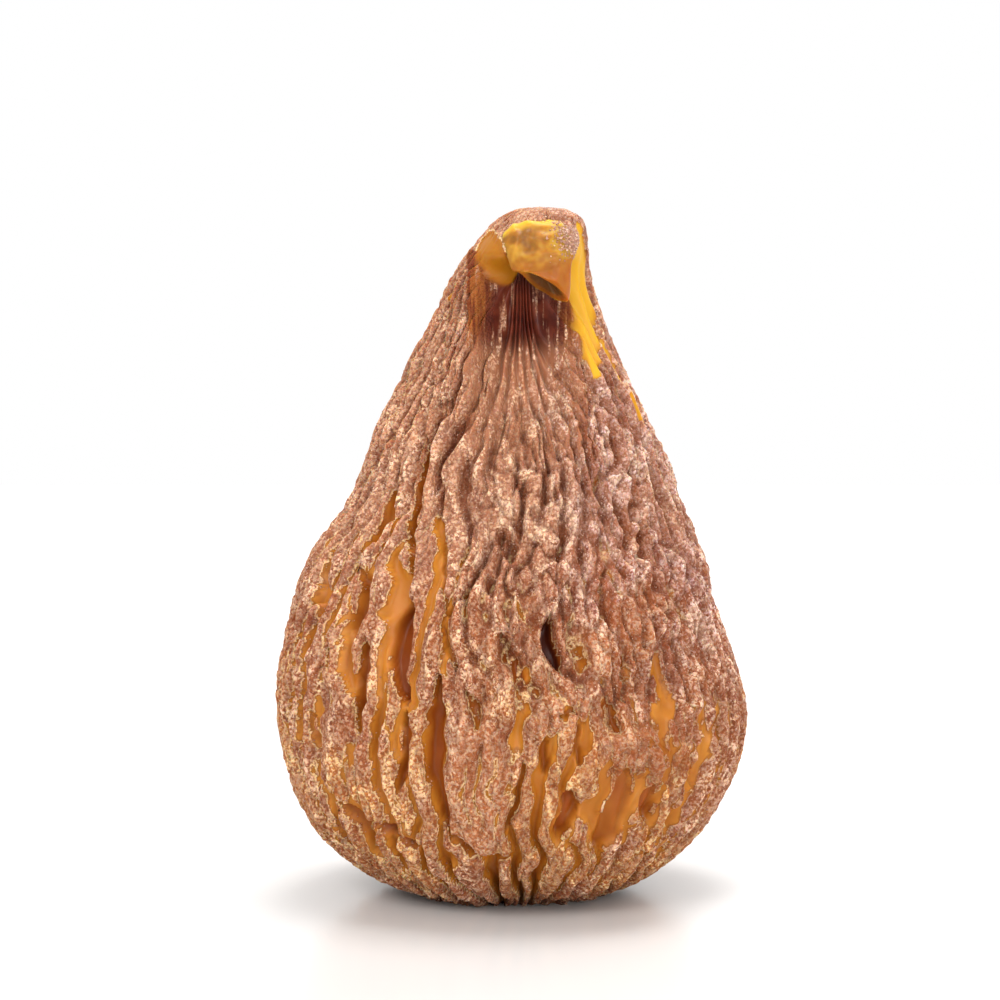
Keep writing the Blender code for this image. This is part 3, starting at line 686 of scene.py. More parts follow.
# %% Where the crust has left the skin bare
# Sugar has left the furrows bare on the left flank and at the foot, and less so elsewhere. BARE_RAGGED and
# RAGGED are how far noise shifts the limits, and FINE_RIB_BARE is how bare the narrow furrows are.
BARE_LEFT = [-0.15, -0.45]
BARE_FOOT = [20.0, 12.0]
BARE_TOP = [40.0, 33.0]
BARE_RULED_TOP = [33.0, 25.0]
BARE_RAGGED = 5.0
BARE_RAGGED_SIZE = 3.0
BARE_ELSEWHERE = 0.40
FINE_RIB_BARE = 0.55
POCKETS = [1.4, 2.0]
RAGGED = [0.24, 0.10]
RAGGED_SIZES = [1.2, 0.5]
COVER_BANK = [0.95, 0.12]
HOLLOW_COVER = [0.75, 0.35]


def cover(theta, smooth, known, thin):
    """How well the crust covers each point, from 0 in a bare furrow to 1: what the furrows uncover, times
    how bare that side of the fig is, with noise on it, through one smooth step."""
    uneven = smooth[:, 2] + BARE_RAGGED * noise(smooth / BARE_RAGGED_SIZE, PLACE["lumps"])
    left = smooth_step(*BARE_LEFT, np.sin(theta)) * smooth_step(*BARE_TOP, smooth[:, 2])
    bare = np.maximum(left, smooth_step(*BARE_FOOT, uneven))
    bare = BARE_ELSEWHERE + (1.0 - BARE_ELSEWHERE) * bare
    low = smooth_step(*BARE_RULED_TOP, uneven)
    floor = np.maximum(known["drawn"], known["band"] * low) * bare + FINE_RIB_BARE * thin * bare * low
    floor = np.maximum(floor, smooth_step(*POCKETS, known["sunk"]))
    for amount, size, place in zip(RAGGED, RAGGED_SIZES, WARP_PLACES):
        floor = floor + amount * noise(smooth / size, place)
    covered = smooth_step(*COVER_BANK, floor) * (1.0 - known["bare"])
    return covered * smooth_step(*HOLLOW_COVER, known["hollow"])


# %% The fine relief of the crust
# Creases and crests are winding lines: their size, how much longer they are up the fig than across it, their
# width, how much a finer wave bends them, and their depth or height, which is more on the lumpy right side.
WRINKLE_SIZE = 1.60
WRINKLE_STRETCH = 2.4
WRINKLE_WIDTH = 0.26
WRINKLE_BENT = 0.40
WRINKLE_DEPTH = 0.14
WRINKLE_DEPTH_RIGHT = 0.30
CREST_SIZE = 1.90
CREST_STRETCH = 2.6
CREST_WIDTH = 0.22
CREST_BENT = 0.35
CREST_HEIGHT = 0.06
CREST_HEIGHT_RIGHT = 0.24
CREST_FADE = [3.0, 16.0]
LUMPY_RIGHT = [-0.5, 0.1]
LEAST_LINES = 0.4
LOBE_SMOOTH = 0.8

# The crust itself: its grain, how far it stands over the bare skin, and the lip that it has along a furrow
CRUST_SIZE = 0.60
CRUST_HEIGHT = 0.07
CRUST_STEP = 0.26
LIP_HEIGHT = 0.07
LIP_AT = 0.72
LIP_SPREAD = 0.25


def winding_lines(points, size, stretch, width, bent, places):
    """Lines that wind over the skin: noise of two sizes added, and a smooth step down from where it is 0."""
    combed = points * [1.0, 1.0, 1.0 / stretch] / size
    finer = bent * noise(2.0 * combed, PLACE[places[1]])
    return smooth_step(width, 0.0, np.abs(noise(combed, PLACE[places[0]]) + finer))


def fine_relief(theta, path, smooth, known, thin):
    """How far the crust stands out from the solid's relief: crests and grain less creases and narrow
    furrows, with a lip where the cover ends, and a step down to the bare skin. It adds what it finds out
    about creases, crests and cover to known."""
    covered = cover(theta, smooth, known, thin)
    creased = winding_lines(
        smooth, WRINKLE_SIZE, WRINKLE_STRETCH, WRINKLE_WIDTH, WRINKLE_BENT, ["opening", "wander"]
    )
    creased *= smooth_step(*TIP_FADE, PATH_END - path)
    crest = winding_lines(smooth, CREST_SIZE, CREST_STRETCH, CREST_WIDTH, CREST_BENT, ["wander", "fibres"])
    crest *= smooth_step(*CREST_FADE, PATH_END - path)
    crest *= 1.0 - LOBE_SMOOTH * known["raised"]
    lumpy = np.maximum(known["knobbly"], smooth_step(*LUMPY_RIGHT, np.sin(theta))) * (1.0 - known["warm"])
    calm = 1.0 - RIGHT_EDGE_CALM * smooth_step(*RIGHT_EDGE, np.sin(theta))
    known["crest"] = crest * (LEAST_LINES + (1.0 - LEAST_LINES) * lumpy)
    known["creased"] = creased * covered * (LEAST_LINES + (1.0 - LEAST_LINES) * lumpy)
    known["crust"] = covered
    fine = -(WRINKLE_DEPTH + (WRINKLE_DEPTH_RIGHT - WRINKLE_DEPTH) * lumpy) * creased * calm
    fine += (CREST_HEIGHT + (CREST_HEIGHT_RIGHT - CREST_HEIGHT) * lumpy) * crest * calm
    fine += CRUST_HEIGHT * noise(smooth / CRUST_SIZE, PLACE["lumps"])
    fine -= FINE_RIB_DEPTH * thin
    lip = np.exp(-(((covered - LIP_AT) / LIP_SPREAD) ** 2))
    return (fine + LIP_HEIGHT * lip) * covered - CRUST_STEP * (1.0 - covered)


# %% Make the skin
# Heights between which the colour goes from one to another, for the finish: orange low down, paler high up,
# darkened at the foot by a painted contact shadow, and streaked with sugar down the hollow, whose stain is
# wider than it is
WARM_FOOT = [25.0, 11.0]
PALE_TOP = [22.0, 31.0]
CONTACT_SHADOW_HEIGHTS = [1.6, 0.3]
STREAKS = [44.8, 39.4]
RECESS_SIDES = [1.30, 0.80]
RECESS_FOOT = [31.0, 40.0]


def skin_surface():
    """The points of the wrinkled skin, the smooth skin moved out along its normals by the relief, and what
    the finish needs to know at each."""
    turn = np.arange(SKIN_COLUMNS) / SKIN_COLUMNS * math.tau
    turn = turn - FRONT_DENSER * np.sin(turn)
    theta, path = np.meshgrid(turn, np.linspace(0, PATH_END, SKIN_ROWS + 2)[1:-1])
    theta = theta.ravel()
    path = path.ravel()
    smooth = skin(theta, path)
    height, known = relief(theta, path, smooth)
    known["warm"] = smooth_step(*WARM_FOOT, smooth[:, 2])
    known["pale"] = smooth_step(*PALE_TOP, smooth[:, 2])
    known["syrupy"] = smooth_step(*CONTACT_SHADOW_HEIGHTS, smooth[:, 2])
    known["streaked"] = smooth_step(*STREAKS, smooth[:, 2])
    beside = np.abs(smooth[:, 0] - HOLLOW_MIDDLE) / HOLLOW_HALF_WIDTH
    recess = smooth_step(*RECESS_SIDES, beside) * smooth_step(*RECESS_FOOT, smooth[:, 2])
    known["recess"] = np.maximum(known["hollow"], recess * (known["hollow"] > 0))

    ring = BELLY_WIDTH / 2
    rolled = np.stack([ring * np.sin(theta), ring * np.cos(theta), path], axis=1)
    thin = fine_ribs(theta, rolled) * smooth_step(*NECK_FADE, PATH_END - path)
    thin *= smooth_step(*BASE_FADE, path)
    fine = fine_relief(theta, path, smooth, known, thin)
    # How far each point lies under the skin round it, which the finish turns into painted shade in crevices
    known["crevice"] = crevice(height + fine, SKIN_COLUMNS)
    del known["drawn"], known["band"]
    return settled(smooth + outward(smooth, SKIN_COLUMNS) * (height + fine)[:, None]), known


skin_points, skin_known = skin_surface()
skin_rings = skin_points.reshape(SKIN_ROWS, SKIN_COLUMNS, 3)
skin_mesh = closed_mesh(
    "fig_skin", skin_rings, skin_rings[0].mean(axis=0), skin_rings[-1].mean(axis=0), skin_known
)
print("the skin has", 2 * SKIN_COLUMNS * SKIN_ROWS, "triangles")

# %% [markdown]
# ## The finish of the skin
# A dried fig's skin is tough, thin and full of syrup, so light enters it and comes out amber: that is
# subsurface scattering, widest in red. On the ribs, sugar has crystallised into a matt, pinkish crust full of
# pale specks. In the furrows the skin is bare, smooth and satin, amber where the furrow is shallow and
# dark red brown where it is deep, partly from syrup and partly painted shade. Painted shade also darkens
# creases, crevices, the deepest pockets and the inside of the hollow; the crust's edge casts a painted
# shadow, the foot has a painted contact shadow and the neck's thin rims a painted glow. The mesh's own
# numbers say which is where, and noise makes the edges between them ragged. Each cell below makes one of
# these looks, and a look is a stack of layers: every layer covers what is under it by its share, from 0 to 1.

# %% Patterns and marks
# The sizes of the patterns in millimetres. Grains of fig sugar are a tenth to a third of a millimetre across,
# and the specks and grains are drawn at that size. The rest were chosen to look like the photograph.
SPECK_SIZE = 0.20
GRAIN_SIZE = 0.24
STREAK_SIZE = 0.42
MOTTLE_SIZE = 0.55
VEIN_SIZE = 0.80
PATCH_SIZE = 1.3
BRUISE_SIZE = 3.0
BROAD_SIZE = 6.0
NOISE_DETAIL = 2.0
VEIN_WIDTH = 0.045

# How much longer a pattern is along x, y and z: veins and bruises up the fig, streaks along the hollow
VEIN_STRETCH = [1.0, 1.0, 2.0]
BRUISE_STRETCH = [1.0, 1.0, 1.6]
STREAK_STRETCH = [1.0, 9.0, 9.0]

skin_finish, skin_tree, skin_shader = new_material("sugared_dried_fig_skin")
place = add(skin_tree, "TexCoord", output="Object")
speck, mottle, patch, broad = (
    add(skin_tree, "TexNoise", {"Vector": place, "Scale": 1.0 / (size * MM), "Detail": NOISE_DETAIL})
    for size in (SPECK_SIZE, MOTTLE_SIZE, PATCH_SIZE, BROAD_SIZE)
)
# Voronoi cells are the grains: the distance from a grain's middle, and a shade of its own for each
grain, crystal = (
    add(skin_tree, "TexVoronoi", {"Vector": place, "Scale": 1.0 / (GRAIN_SIZE * MM)}, output=wanted)
    for wanted in ("Distance", "Color")
)
stretched = []
for size, stretch in (
    (VEIN_SIZE, VEIN_STRETCH),
    (BRUISE_SIZE, BRUISE_STRETCH),
    (STREAK_SIZE, STREAK_STRETCH),
):
    squeezed = add(skin_tree, "Mapping", {"Vector": place, "Scale": [1.0 / along for along in stretch]})
    stretched.append(
        add(skin_tree, "TexNoise", {"Vector": squeezed, "Scale": 1.0 / (size * MM), "Detail": NOISE_DETAIL})
    )
weave, bruise, streak = stretched

# Veins are where the woven noise is close to its middle value
off_middle = add(skin_tree, "Math", [add(skin_tree, "Math", [weave, 0.5], MINUS)], SIZE_ONLY)
vein = add(skin_tree, "MapRange", [off_middle, VEIN_WIDTH, 0.0], SMOOTH)
marks = {
    name: add(skin_tree, "Attribute", settings={"attribute_name": name}, output="Fac") for name in skin_known
}
print("the skin's finish reads", len(marks), "numbers at each point:", ", ".join(marks))

# %% The crust on the ribs
# Light and dark of the crust: each pattern times its share, with more contrast in some patches than in others
crust_tone = 0.0
# The crevice's negative share darkens low places as painted shade
for pattern, share in ((speck, 0.56), (mottle, 0.14), (crystal, 0.30), (marks["crevice"], -0.07)):
    crust_tone = add(skin_tree, "Math", [pattern, share, crust_tone], TIMES_PLUS)
contrast = add(skin_tree, "MapRange", [patch, 0.35, 0.62, 0.80, 1.45], SMOOTH)
crust_tone = add(skin_tree, "Math", [crust_tone, 0.5], MINUS)
crust_tone = add(skin_tree, "Math", [crust_tone, contrast, 0.5], TIMES_PLUS)

# From a gap between grains to a grain's pale top: on the left, on the lumpy right, at the foot and on a lobe
pinkish, mauve, orange, peach = (
    add(skin_tree, "ValToRGB", [crust_tone], {"stops": list(zip(places, colours))})
    for places, colours in (
        ((0.40, 0.50, 0.60), ("#763d23", "#a56746", "#ecc4a2")),
        ((0.40, 0.50, 0.60), ("#663932", "#9d6e67", "#eccdc5")),
        ((0.40, 0.50, 0.60), ("#a5602e", "#ca884b", "#f2cb96")),
        ((0.40, 0.50, 0.61), ("#b0683c", "#d59266", "#f4d0ac")),
    )
)
dusky = add(skin_tree, "MapRange", [broad, 0.3, 0.6], SMOOTH)
dusky = add(skin_tree, "Math", [marks["knobbly"], dusky], TIMES)
warmth = add(skin_tree, "MapRange", [broad, 0.35, 0.6], SMOOTH)
warmth = add(skin_tree, "Math", [marks["warm"], warmth], TIMES)
lobed = add(skin_tree, "Math", [marks["raised"], 0.85], TIMES)

# The skin shows through where the crust is thin, in patches, and less at the warm foot
thin_patch = add(skin_tree, "Math", [mottle, 0.4], TIMES)
thin_patch = add(skin_tree, "Math", [patch, 0.6, thin_patch], TIMES_PLUS)
thin_patch = add(skin_tree, "MapRange", [thin_patch, 0.50, 0.62], SMOOTH)
less_warm = add(skin_tree, "MapRange", [warmth, 0.5, 0.0, 0.15, 0.50], SMOOTH)
thin_patch = add(skin_tree, "Math", [thin_patch, less_warm], TIMES)

# Crests, veins and the upper part are paler, because more sugar has dried there
powder = add(skin_tree, "MapRange", [marks["crest"], 0.40, 0.95, 0.0, 0.35], SMOOTH)
powder = add(skin_tree, "Math", [vein, 0.14, powder], TIMES_PLUS)
powder = add(skin_tree, "Math", [marks["pale"], 0.12, powder], TIMES_PLUS)

beside_crest = add(skin_tree, "MapRange", [marks["crest"], 0.30, 0.0, 0.0, 0.55], SMOOTH)
gap = add(skin_tree, "MapRange", [grain, 0.45, 0.85, 0.0, 0.35], SMOOTH)
# Painted shade: darker in the creases of the wrinkles, in furrows and in low places under the skin's mean
creased = add(skin_tree, "Math", [marks["creased"], 0.75], TIMES)
painted_furrow_shade = add(skin_tree, "MapRange", [marks["sunk"], 0.10, 0.8, 0.0, 0.6], SMOOTH)
painted_crevice_shade = add(skin_tree, "MapRange", [marks["crevice"], 0.04, 0.34, 0.0, 0.45], SMOOTH)
bruised = add(skin_tree, "MapRange", [bruise, 0.53, 0.66, 0.0, 0.38], SMOOTH)

crust_colour = pinkish
for share, over in (
    (dusky, mauve),
    (warmth, orange),
    (lobed, peach),
    (thin_patch, linear("#a55e30")),
    (beside_crest, linear("#8c4d2a")),
    (powder, linear("#eecbab")),
    (gap, linear("#6a3622")),
    # painted shade in creases, furrows and low places
    (creased, linear("#6b3318")),
    (painted_furrow_shade, linear("#86431a")),
    (painted_crevice_shade, linear("#64301a")),
    (bruised, linear("#6d3a28")),
):
    crust_colour = add(skin_tree, "Mix", {0: share, 6: crust_colour, 7: over}, COLOURS, 2)
print("with the crust, the finish has", len(skin_tree.nodes), "nodes")

# %% The bare skin in the furrows, and the edge of the crust
# Bare skin is amber where it is thin and shallow, and darker the deeper it lies: partly the syrup over it,
# and partly painted shade
bare_tone = -0.2
for pattern, share in ((marks["sunk"], 0.42), (patch, 0.2), (broad, 0.4)):
    bare_tone = add(skin_tree, "Math", [pattern, share, bare_tone], TIMES_PLUS)
BARE_STOPS = [(0.05, "#bd7c2b"), (0.35, "#a9651f"), (0.62, "#8c4512"), (0.95, "#662408")]
bare_colour = add(skin_tree, "ValToRGB", [bare_tone], {"stops": BARE_STOPS})
# The deepest pockets are painted near black, as painted shade
painted_pocket_shade = add(skin_tree, "MapRange", [marks["sunk"], 1.5, 2.2], SMOOTH)

# The rims of the neck carry no crust and light comes through them; their colour is lifted to yellow as a
# painted glow
rim_colour_with_painted_glow = add(skin_tree, "Mix", {0: marks["glow"], 6: linear("#8e4a08"), 7: linear("#cd9a20")}, COLOURS, 2)
open_rim = add(skin_tree, "MapRange", [marks["bare"], 0.15, 0.85], SMOOTH)

# The crust ends in a ragged line: its cover less a limit, with three sizes of noise on it
edge = add(skin_tree, "Math", [marks["crust"], 0.58], MINUS)
for pattern, share in ((patch, 0.40), (mottle, 0.40), (speck, 0.35)):
    edge = add(skin_tree, "Math", [pattern, share, edge], TIMES_PLUS)
crusted = add(skin_tree, "MapRange", [edge, 0.46, 0.56], SMOOTH)

# Sugar stands thickest right at that line, in specks, and the bare skin beside it gets a painted shadow from
# it
crumbs = add(skin_tree, "MapRange", [speck, 0.38, 0.54, 0.25, 1.0], SMOOTH)
lip = add(skin_tree, "MapRange", [edge, 0.76, 0.58], SMOOTH)
less_right = add(skin_tree, "MapRange", [marks["knobbly"], 0.0, 1.0, 1.0, 0.35], SMOOTH)
for share in (crusted, crumbs, less_right, 0.75):
    lip = add(skin_tree, "Math", [lip, share], TIMES)
painted_lip_shadow = add(skin_tree, "MapRange", [edge, 0.18, 0.46, 0.0, 0.5], SMOOTH)
not_rim = add(skin_tree, "MapRange", [open_rim, 1.0, 0.0], SMOOTH)
painted_lip_shadow = add(skin_tree, "Math", [painted_lip_shadow, not_rim], TIMES)

outside_colour = bare_colour
for share, over in (
    (painted_pocket_shade, linear("#47190c")),
    (open_rim, rim_colour_with_painted_glow),
    (painted_lip_shadow, linear("#6b300e")),
    (crusted, crust_colour),
    (lip, linear("#f6cf98")),
):
    outside_colour = add(skin_tree, "Mix", {0: share, 6: outside_colour, 7: over}, COLOURS, 2)
print("with the bare skin, it has", len(skin_tree.nodes), "nodes")

# %% The hollow of the neck
# The hollow is dark, wet skin, and its inside is painted darker still as painted shade. Its side walls are
# painted lighter where they catch some light, and sugar has run down it in streaks
on_wall = add(skin_tree, "MapRange", [streak, 0.40, 0.60], SMOOTH)
wall_colour = add(skin_tree, "Mix", {0: on_wall, 6: linear("#6b3116"), 7: linear("#91521f")}, COLOURS, 2)
patchy = add(skin_tree, "MapRange", [patch, 0.3, 0.7], SMOOTH)
wet_and_shaded_colour = add(skin_tree, "Mix", {0: patchy, 6: linear("#3f120a"), 7: linear("#642a1a")}, COLOURS, 2)
inner = add(skin_tree, "MapRange", [marks["hollow"], 0.15, 0.55], SMOOTH)
lower = add(skin_tree, "MapRange", [marks["streaked"], 0.05, 0.6, 0.0, 0.85], SMOOTH)
sugared = add(skin_tree, "Math", [marks["streaked"], 0.24, streak], TIMES_PLUS)
sugared = add(skin_tree, "MapRange", [sugared, 0.55, 0.68, 0.0, 0.9], SMOOTH)
off_rim = add(skin_tree, "MapRange", [open_rim, 0.6, 0.1], SMOOTH)
for share in (crumbs, off_rim):
    sugared = add(skin_tree, "Math", [sugared, share], TIMES)

hollow_colour = wall_colour
for share, over in (
    (inner, wet_and_shaded_colour),
    (lower, linear("#a06a4c")),
    (open_rim, rim_colour_with_painted_glow),
    (sugared, crust_colour),
):
    hollow_colour = add(skin_tree, "Mix", {0: share, 6: hollow_colour, 7: over}, COLOURS, 2)

# The streaks also break up the line where the hollow begins
inside = add(skin_tree, "Math", [marks["recess"], 0.45], PLUS)
inside = add(skin_tree, "Math", [streak, -0.9, inside], TIMES_PLUS)
inside = add(skin_tree, "MapRange", [inside, 0.20, 0.42], SMOOTH)
# A painted contact shadow darkens the foot where it meets the floor
syrupy = add(skin_tree, "Math", [marks["syrupy"], 0.8], TIMES)
skin_colour = outside_colour
for share, over in ((inside, hollow_colour), (syrupy, linear("#3d1a12"))):
    skin_colour = add(skin_tree, "Mix", {0: share, 6: skin_colour, 7: over}, COLOURS, 2)
print("with the hollow, it has", len(skin_tree.nodes), "nodes")

# %% The feel of the skin
# The grains of the crust stand 0.08 mm high in the bump map and scatter light widely. Bare skin is satin: its
# syrup is a smooth film of sugar in water, hence the IOR, and light that enters it comes out reddest.
BUMP_HEIGHT = 0.08
BUMP_SHARES = ((grain, -1.6), (speck, 2.0), (vein, 0.4), (mottle, 1.0))

bumps = 0.0
for pattern, share in BUMP_SHARES:
    bumps = add(skin_tree, "Math", [pattern, share, bumps], TIMES_PLUS)
bumps = add(skin_tree, "Math", [crusted, bumps], TIMES)
bent_normal = add(skin_tree, "Bump", {"Strength": 1.0, "Distance": BUMP_HEIGHT * MM, "Height": bumps})
roughness = add(skin_tree, "MapRange", [crusted, 0.0, 1.0, 0.40, 0.66], SMOOTH)
skin_tree.links.new(skin_colour, skin_shader.inputs["Base Color"])
skin_tree.links.new(roughness, skin_shader.inputs["Roughness"])
skin_tree.links.new(bent_normal, skin_shader.inputs["Normal"])
skin_shader.inputs["IOR"].default_value = 1.40
skin_shader.inputs["Specular IOR Level"].default_value = 0.25
skin_shader.inputs["Subsurface Weight"].default_value = 0.40
skin_shader.inputs["Subsurface Radius"].default_value = (1.0, 0.38, 0.12)
skin_shader.inputs["Subsurface Scale"].default_value = 0.9 * MM

skin_piece = new_piece("fig_skin", skin_mesh, skin_finish)
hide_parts("fig")
print("finished", skin_piece.name, "in", skin_piece.data.materials[0].name)

# %% [markdown]
# ## The stalk
# The stalk is the end of the neck. It was cut at picking, dried flat and has folded forward over the hollow.
# It is a flattened tube: an oval ring carried along a curved line, with the last rings turned in to make the
# sunken cut.

# %% Make the stalk
# The points of its middle line from root to cut and the half width and half thickness at each, in
# millimetres. Then the grid, the rounding of the root, the oval's shape, creases, a raised fold with its
# place in points along the line, grain, and the slant and sunken floor of the cut.
STALK_LINE = np.array([
    [2.1, -1.2, 49.0],
    [2.1, -2.9, 50.2],
    [2.1, -4.7, 49.9],
    [2.2, -5.5, 48.3],
    [2.5, -5.1, 46.6],
])
STALK_HALF_WIDTHS = np.array([2.4, 2.8, 2.85, 2.30, 1.45])
STALK_HALF_THICKNESSES = np.array([1.3, 1.5, 1.3, 1.0, 0.8])
STALK_ROWS = 90
STALK_COLUMNS = 96
STALK_ROOT = 0.5
STALK_ROOT_LEAST = 0.2
STALK_THIN_EDGES = 0.35
STALK_BOXY = 0.66
STALK_CREASE = 0.42
STALK_CREASE_SIZE = 1.2
STALK_CREASE_STRETCH = 3.0
STALK_FOLD_AT = 1.75
STALK_FOLD_SPREAD = 0.12
STALK_FOLD_HEIGHT = 0.22
STALK_GRAIN = 0.07
STALK_GRAIN_SIZE = 0.4
CUT_SLANT = 0.85
CUT_FACING = -1.10
CUT_LIP = 0.62
CUT_LIP_DEPTH = 0.25
CUT_FLOOR = 0.30
CUT_FLOOR_DEPTH = 0.70


def stalk_surface():
    """The rings of the stalk: across is the half width times cos(phi), and through is the half thickness
    times sin(phi), both with their size raised to a power below 1, which makes the oval boxy. It also
    returns how far along the stalk each point is, and which points are the cut's."""
    last = len(STALK_LINE) - 1
    where = np.linspace(0, last, STALK_ROWS)
    line = curve_through(STALK_LINE, where)
    tangent = np.gradient(line, axis=0)
    tangent /= np.linalg.norm(tangent, axis=1, keepdims=True)
    side = np.array([1.0, 0.0, 0.0]) - tangent * tangent[:, :1]
    side /= np.linalg.norm(side, axis=1, keepdims=True)
    out = np.cross(tangent, side)
    width = np.interp(where, np.arange(last + 1), STALK_HALF_WIDTHS)
    thickness = np.interp(where, np.arange(last + 1), STALK_HALF_THICKNESSES)
    root = 1.0 - np.minimum(where / STALK_ROOT, 1.0)
    rounded = np.maximum(np.sqrt(1.0 - root**2), STALK_ROOT_LEAST)
    phi = np.arange(STALK_COLUMNS) / STALK_COLUMNS * math.tau
    boxy_across = np.sign(np.cos(phi)) * np.abs(np.cos(phi)) ** STALK_BOXY
    boxy_through = np.sign(np.sin(phi)) * np.abs(np.sin(phi)) ** STALK_BOXY
    across = (width * rounded)[:, None] * boxy_across
    through = (thickness * rounded)[:, None] * boxy_through * (1.0 - STALK_THIN_EDGES * np.cos(phi) ** 2)
    slant = CUT_SLANT * across + CUT_FACING * through
    slant = slant * smooth_step(last - 1, last, where)[:, None]
    rings = line[:, None] + across[..., None] * side[:, None] + through[..., None] * out[:, None]
    combed = rings * [1.0, 1.0, 1.0 / STALK_CREASE_STRETCH] / STALK_CREASE_SIZE
    crease = -STALK_CREASE * np.abs(noise(combed, PLACE["opening"]))
    crease += STALK_GRAIN * noise(rings / STALK_GRAIN_SIZE, PLACE["lumps"])
    crease += STALK_FOLD_HEIGHT * np.exp(-(((where - STALK_FOLD_AT) / STALK_FOLD_SPREAD) ** 2))[:, None]
    rings += (crease * np.sin(phi))[..., None] * out[:, None]
    rings += slant[..., None] * tangent[:, None]
    cut = rings[-1].mean(axis=0)
    lip = cut + (rings[-1] - cut) * CUT_LIP - tangent[-1] * CUT_LIP_DEPTH
    floor = cut + (rings[-1] - cut) * CUT_FLOOR - tangent[-1] * CUT_FLOOR_DEPTH
    rings = np.concatenate([rings, [lip], [floor]])
    along = np.concatenate([where / last, [1.0, 1.0]])
    cut_share = np.concatenate([np.zeros(STALK_ROWS), [1.0, 1.0]])
    known = {"along": np.repeat(along, STALK_COLUMNS), "cut": np.repeat(cut_share, STALK_COLUMNS)}
    return rings, known


def signed_volume(mesh):
    """The volume that a closed mesh holds, negative if its faces point inwards."""
    mesh.calc_loop_triangles()
    corners = np.empty(len(mesh.loop_triangles) * 3, int)
    mesh.loop_triangles.foreach_get("vertices", corners)
    places = np.empty(len(mesh.vertices) * 3)
    mesh.vertices.foreach_get("co", places)
    a, b, c = places.reshape(-1, 3)[corners.reshape(-1, 3)].transpose(1, 0, 2)
    return float(np.einsum("ij,ij->", a, np.cross(b, c)) / 6.0)


stalk_rings, stalk_known = stalk_surface()
stalk_mesh = closed_mesh(
    "fig_stalk", stalk_rings, stalk_rings[0].mean(axis=0), stalk_rings[-1].mean(axis=0), stalk_known
)
if signed_volume(stalk_mesh) < 0:
    stalk_mesh.flip_normals()
print("the stalk holds", round(signed_volume(stalk_mesh) / MM**3, 1), "cubic millimetres")

# %% [markdown]
# ## The finish of the stalk
# The stalk is the same skin without a crust, flattened as it dried. In the photograph it lets more light
# through than the body does and glows amber, so it scatters light more under the surface and further. Only
# its sunken cut is dark.

# %% The dried stalk's material
STALK_STOPS = [(0.35, "#7a4c0c"), (0.5, "#9a6312"), (0.65, "#b18326")]


def dried_stalk_material():
    """Dried fig stalk, bare and full of syrup: amber, satin, and clear enough for light to come through."""
    made, tree, shader = new_material("bare_dried_fig_stalk")
    where = add(tree, "TexCoord", output="Object")
    cloud = add(tree, "TexNoise", {"Vector": where, "Scale": 1.0 / (PATCH_SIZE * MM), "Detail": NOISE_DETAIL})
    along, cut = (
        add(tree, "Attribute", settings={"attribute_name": name}, output="Fac") for name in ("along", "cut")
    )
    fold_top = add(tree, "MapRange", [along, 0.50, 0.44], SMOOTH)
    hanging_end = add(tree, "MapRange", [along, 0.66, 0.86, 0.0, 0.8], SMOOTH)
    colour = add(tree, "ValToRGB", [cloud], {"stops": STALK_STOPS})
    for share, over in ((fold_top, "#cb9d26"), (hanging_end, "#9a5410"), (cut, "#51300f")):
        colour = add(tree, "Mix", {0: share, 6: colour, 7: linear(over)}, COLOURS, 2)
    tree.links.new(colour, shader.inputs["Base Color"])
    shader.inputs["Roughness"].default_value = 0.42
    shader.inputs["IOR"].default_value = 1.48
    shader.inputs["Specular IOR Level"].default_value = 0.25
    shader.inputs["Subsurface Weight"].default_value = 0.7
    shader.inputs["Subsurface Radius"].default_value = (1.0, 0.45, 0.12)
    shader.inputs["Subsurface Scale"].default_value = 1.6 * MM
    return made


stalk_piece = new_piece("fig_stalk", stalk_mesh, dried_stalk_material())
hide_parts("fig")
print("finished", stalk_piece.name)

# %% [markdown]
# ## The sugar grains
# Up close the crust is made of grains from a tenth to a third of a millimetre across. A bump map alone
# leaves the fig's outline smooth, so the largest grains are real: eight-sided crystals, each turned its own
# way and sunk a little into the crust, most of them on the crests.

# %% Crystals on a surface
# How many grains there are, their least and greatest radius in millimetres, how far a grain is sunk in as a
# share of its radius, and how much longer or shorter than that radius each of its six arms can be
GRAINS_A_PIECE = 20000
GRAIN_PIECES = 2
GRAIN_RADII = [0.04, 0.10]
GRAIN_SUNK = 0.25
GRAIN_UNEVEN = [0.7, 1.3]

crystal_points = np.array([[1, 0, 0], [-1, 0, 0], [0, 1, 0], [0, -1, 0], [0, 0, 1], [0, 0, -1]], float)
crystal_faces = np.array(
    [[0, 2, 4], [2, 1, 4], [1, 3, 4], [3, 0, 4], [2, 0, 5], [1, 2, 5], [3, 1, 5], [0, 3, 5]]
)


def random_turns(count):
    """Random rotations, from unit quaternions w, x, y, z."""
    turns = random.normal(size=(count, 4))
    w, x, y, z = (turns / np.linalg.norm(turns, axis=1, keepdims=True)).T
    return np.stack([
        np.stack([1 - 2 * (y * y + z * z), 2 * (x * y - z * w), 2 * (x * z + y * w)], axis=-1),
        np.stack([2 * (x * y + z * w), 1 - 2 * (x * x + z * z), 2 * (y * z - x * w)], axis=-1),
        np.stack([2 * (x * z - y * w), 2 * (y * z + x * w), 1 - 2 * (x * x + y * y)], axis=-1),
    ], axis=1)


